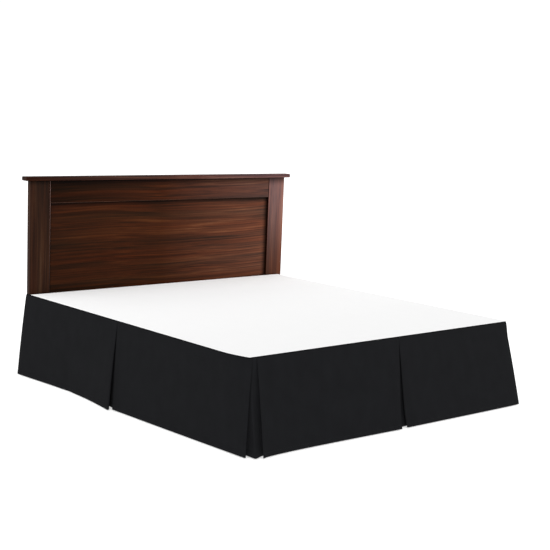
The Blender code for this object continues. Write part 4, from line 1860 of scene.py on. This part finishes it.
@dataclass(frozen=True)
class Viewpoint:
    """The photograph's camera: place from the deck's middle at hem height, turns in degrees, and framing.

    focal, centre and frame are in pixels of the square picture, and sensor is in millimetres.
    """

    place: Tuple[float, float, float] = (-4.3690, -5.1133, 1.6278)
    yaw: float = -40.933
    pitch: float = 8.344
    roll: float = 2.263
    focal: float = 1177.3
    centre: Tuple[float, float] = (274.38, 276.97)
    frame: float = 550.0
    sensor: float = 36.0


@dataclass(frozen=True)
class SoftSun:
    """A distant light: direction in which it stands, its strength and its apparent size in degrees."""

    name: str
    toward: Tuple[float, float, float]
    strength: float
    spread: float


@dataclass
class Studio:
    """A pale floor, soft light and the camera.

    shift and hem are the deck's middle and the hem height that the viewpoint is measured from. The
    backdrop lights the bed by lit, and shows by seen.
    """

    shift: float
    hem: float
    suns: Tuple[SoftSun, ...] = (
        SoftSun("front_light", toward=(-0.58, -0.81, 0.72), strength=0.95, spread=75.0),
        SoftSun("left_light", toward=(-0.95, -0.15, 0.6), strength=0.15, spread=10.0),
        SoftSun("low_light", toward=(-0.60, -0.77, 0.24), strength=0.95, spread=15.0))
    floor_half: float = 80.0
    floor_glow: float = 0.45
    lit: float = 0.87
    seen: float = 1.05

    def build(self) -> None:
        """Set up floor, light, camera and plain colour handling."""
        scene = bpy.context.scene
        scene.view_settings.view_transform = "Standard"
        scene.view_settings.look = "None"
        self.floor()
        self.backdrop()
        for sun in self.suns:
            data = bpy.data.lights.new(sun.name, "SUN")
            data.energy, data.angle = sun.strength, math.radians(sun.spread)
            put(sun.name, data).rotation_euler = Vector(sun.toward).to_track_quat("Z", "Y").to_euler()
        scene.camera = self.camera(Viewpoint())

    def floor(self) -> None:
        """A plain pale floor that glows a little, so that no shadow on it is deep."""
        half = self.floor_half
        shade = Shading("pale_floor")
        shade.finish(Base_Color=(*grey(0.85), 1.0), Roughness=0.9, Specular_IOR_Level=0.0,
                     Emission_Color=(*grey(1.0), 1.0), Emission_Strength=self.floor_glow)
        mesh = bpy.data.meshes.new("floor")
        mesh.from_pydata([(-half, -half, 0), (half, -half, 0), (half, half, 0), (-half, half, 0)], [],
                         [(0, 1, 2, 3)])
        mesh.materials.append(shade.material)
        put("floor", mesh)

    def backdrop(self) -> None:
        """A white backdrop that lights the bed only softly."""
        world = bpy.data.worlds.new("studio")
        bpy.context.scene.world = world
        world.use_nodes = True
        tree = NodeTree(world.node_tree)
        path = tree.add("ShaderNodeLightPath")
        strength = tree.add("ShaderNodeMix", Factor=path.outputs["Is Camera Ray"], A=self.lit, B=self.seen)
        back = world.node_tree.nodes["Background"]
        tree.feed(back.inputs["Strength"], strength.outputs[0])
        tree.feed(back.inputs["Color"], (*grey(1.0), 1.0))

    def camera(self, view: Viewpoint) -> bpy.types.Object:
        """Make the camera.

        Args:
            view: Its viewpoint.

        Returns:
            The camera object.
        """
        yaw, pitch, roll = (math.radians(value) for value in (view.yaw, view.pitch, view.roll))
        ahead = Vector((-math.sin(yaw) * math.cos(pitch), math.cos(yaw) * math.cos(pitch), -math.sin(pitch)))
        level = Vector((math.cos(yaw), math.sin(yaw), 0.0))
        upright = level.cross(ahead)
        right = math.cos(roll) * level + math.sin(roll) * upright
        up = math.cos(roll) * upright - math.sin(roll) * level
        data = bpy.data.cameras.new("camera")
        data.sensor_width = view.sensor
        data.lens = view.focal * view.sensor / view.frame
        data.shift_x = (view.frame / 2 - view.centre[0]) / view.frame
        data.shift_y = (view.centre[1] - view.frame / 2) / view.frame
        item = put("camera", data)
        turn = Matrix((right, up, -ahead)).transposed().to_4x4()
        place = Vector(view.place) + Vector((0.0, self.shift, self.hem))
        item.matrix_world = Matrix.Translation(place) @ turn
        return item


def main() -> None:
    """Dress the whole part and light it."""
    logging.basicConfig(level=logging.INFO, format="%(name)s: %(message)s")
    skirt = BedSkirt()
    skirt.build_deck()
    skirt.build_drops()
    skirt.build_stitching()
    BoxSpring().build()
    SteelFrame().build()
    Headboard().build()
    Studio(skirt.shift, skirt.hem).build()


if __name__ == "__main__":
    main()
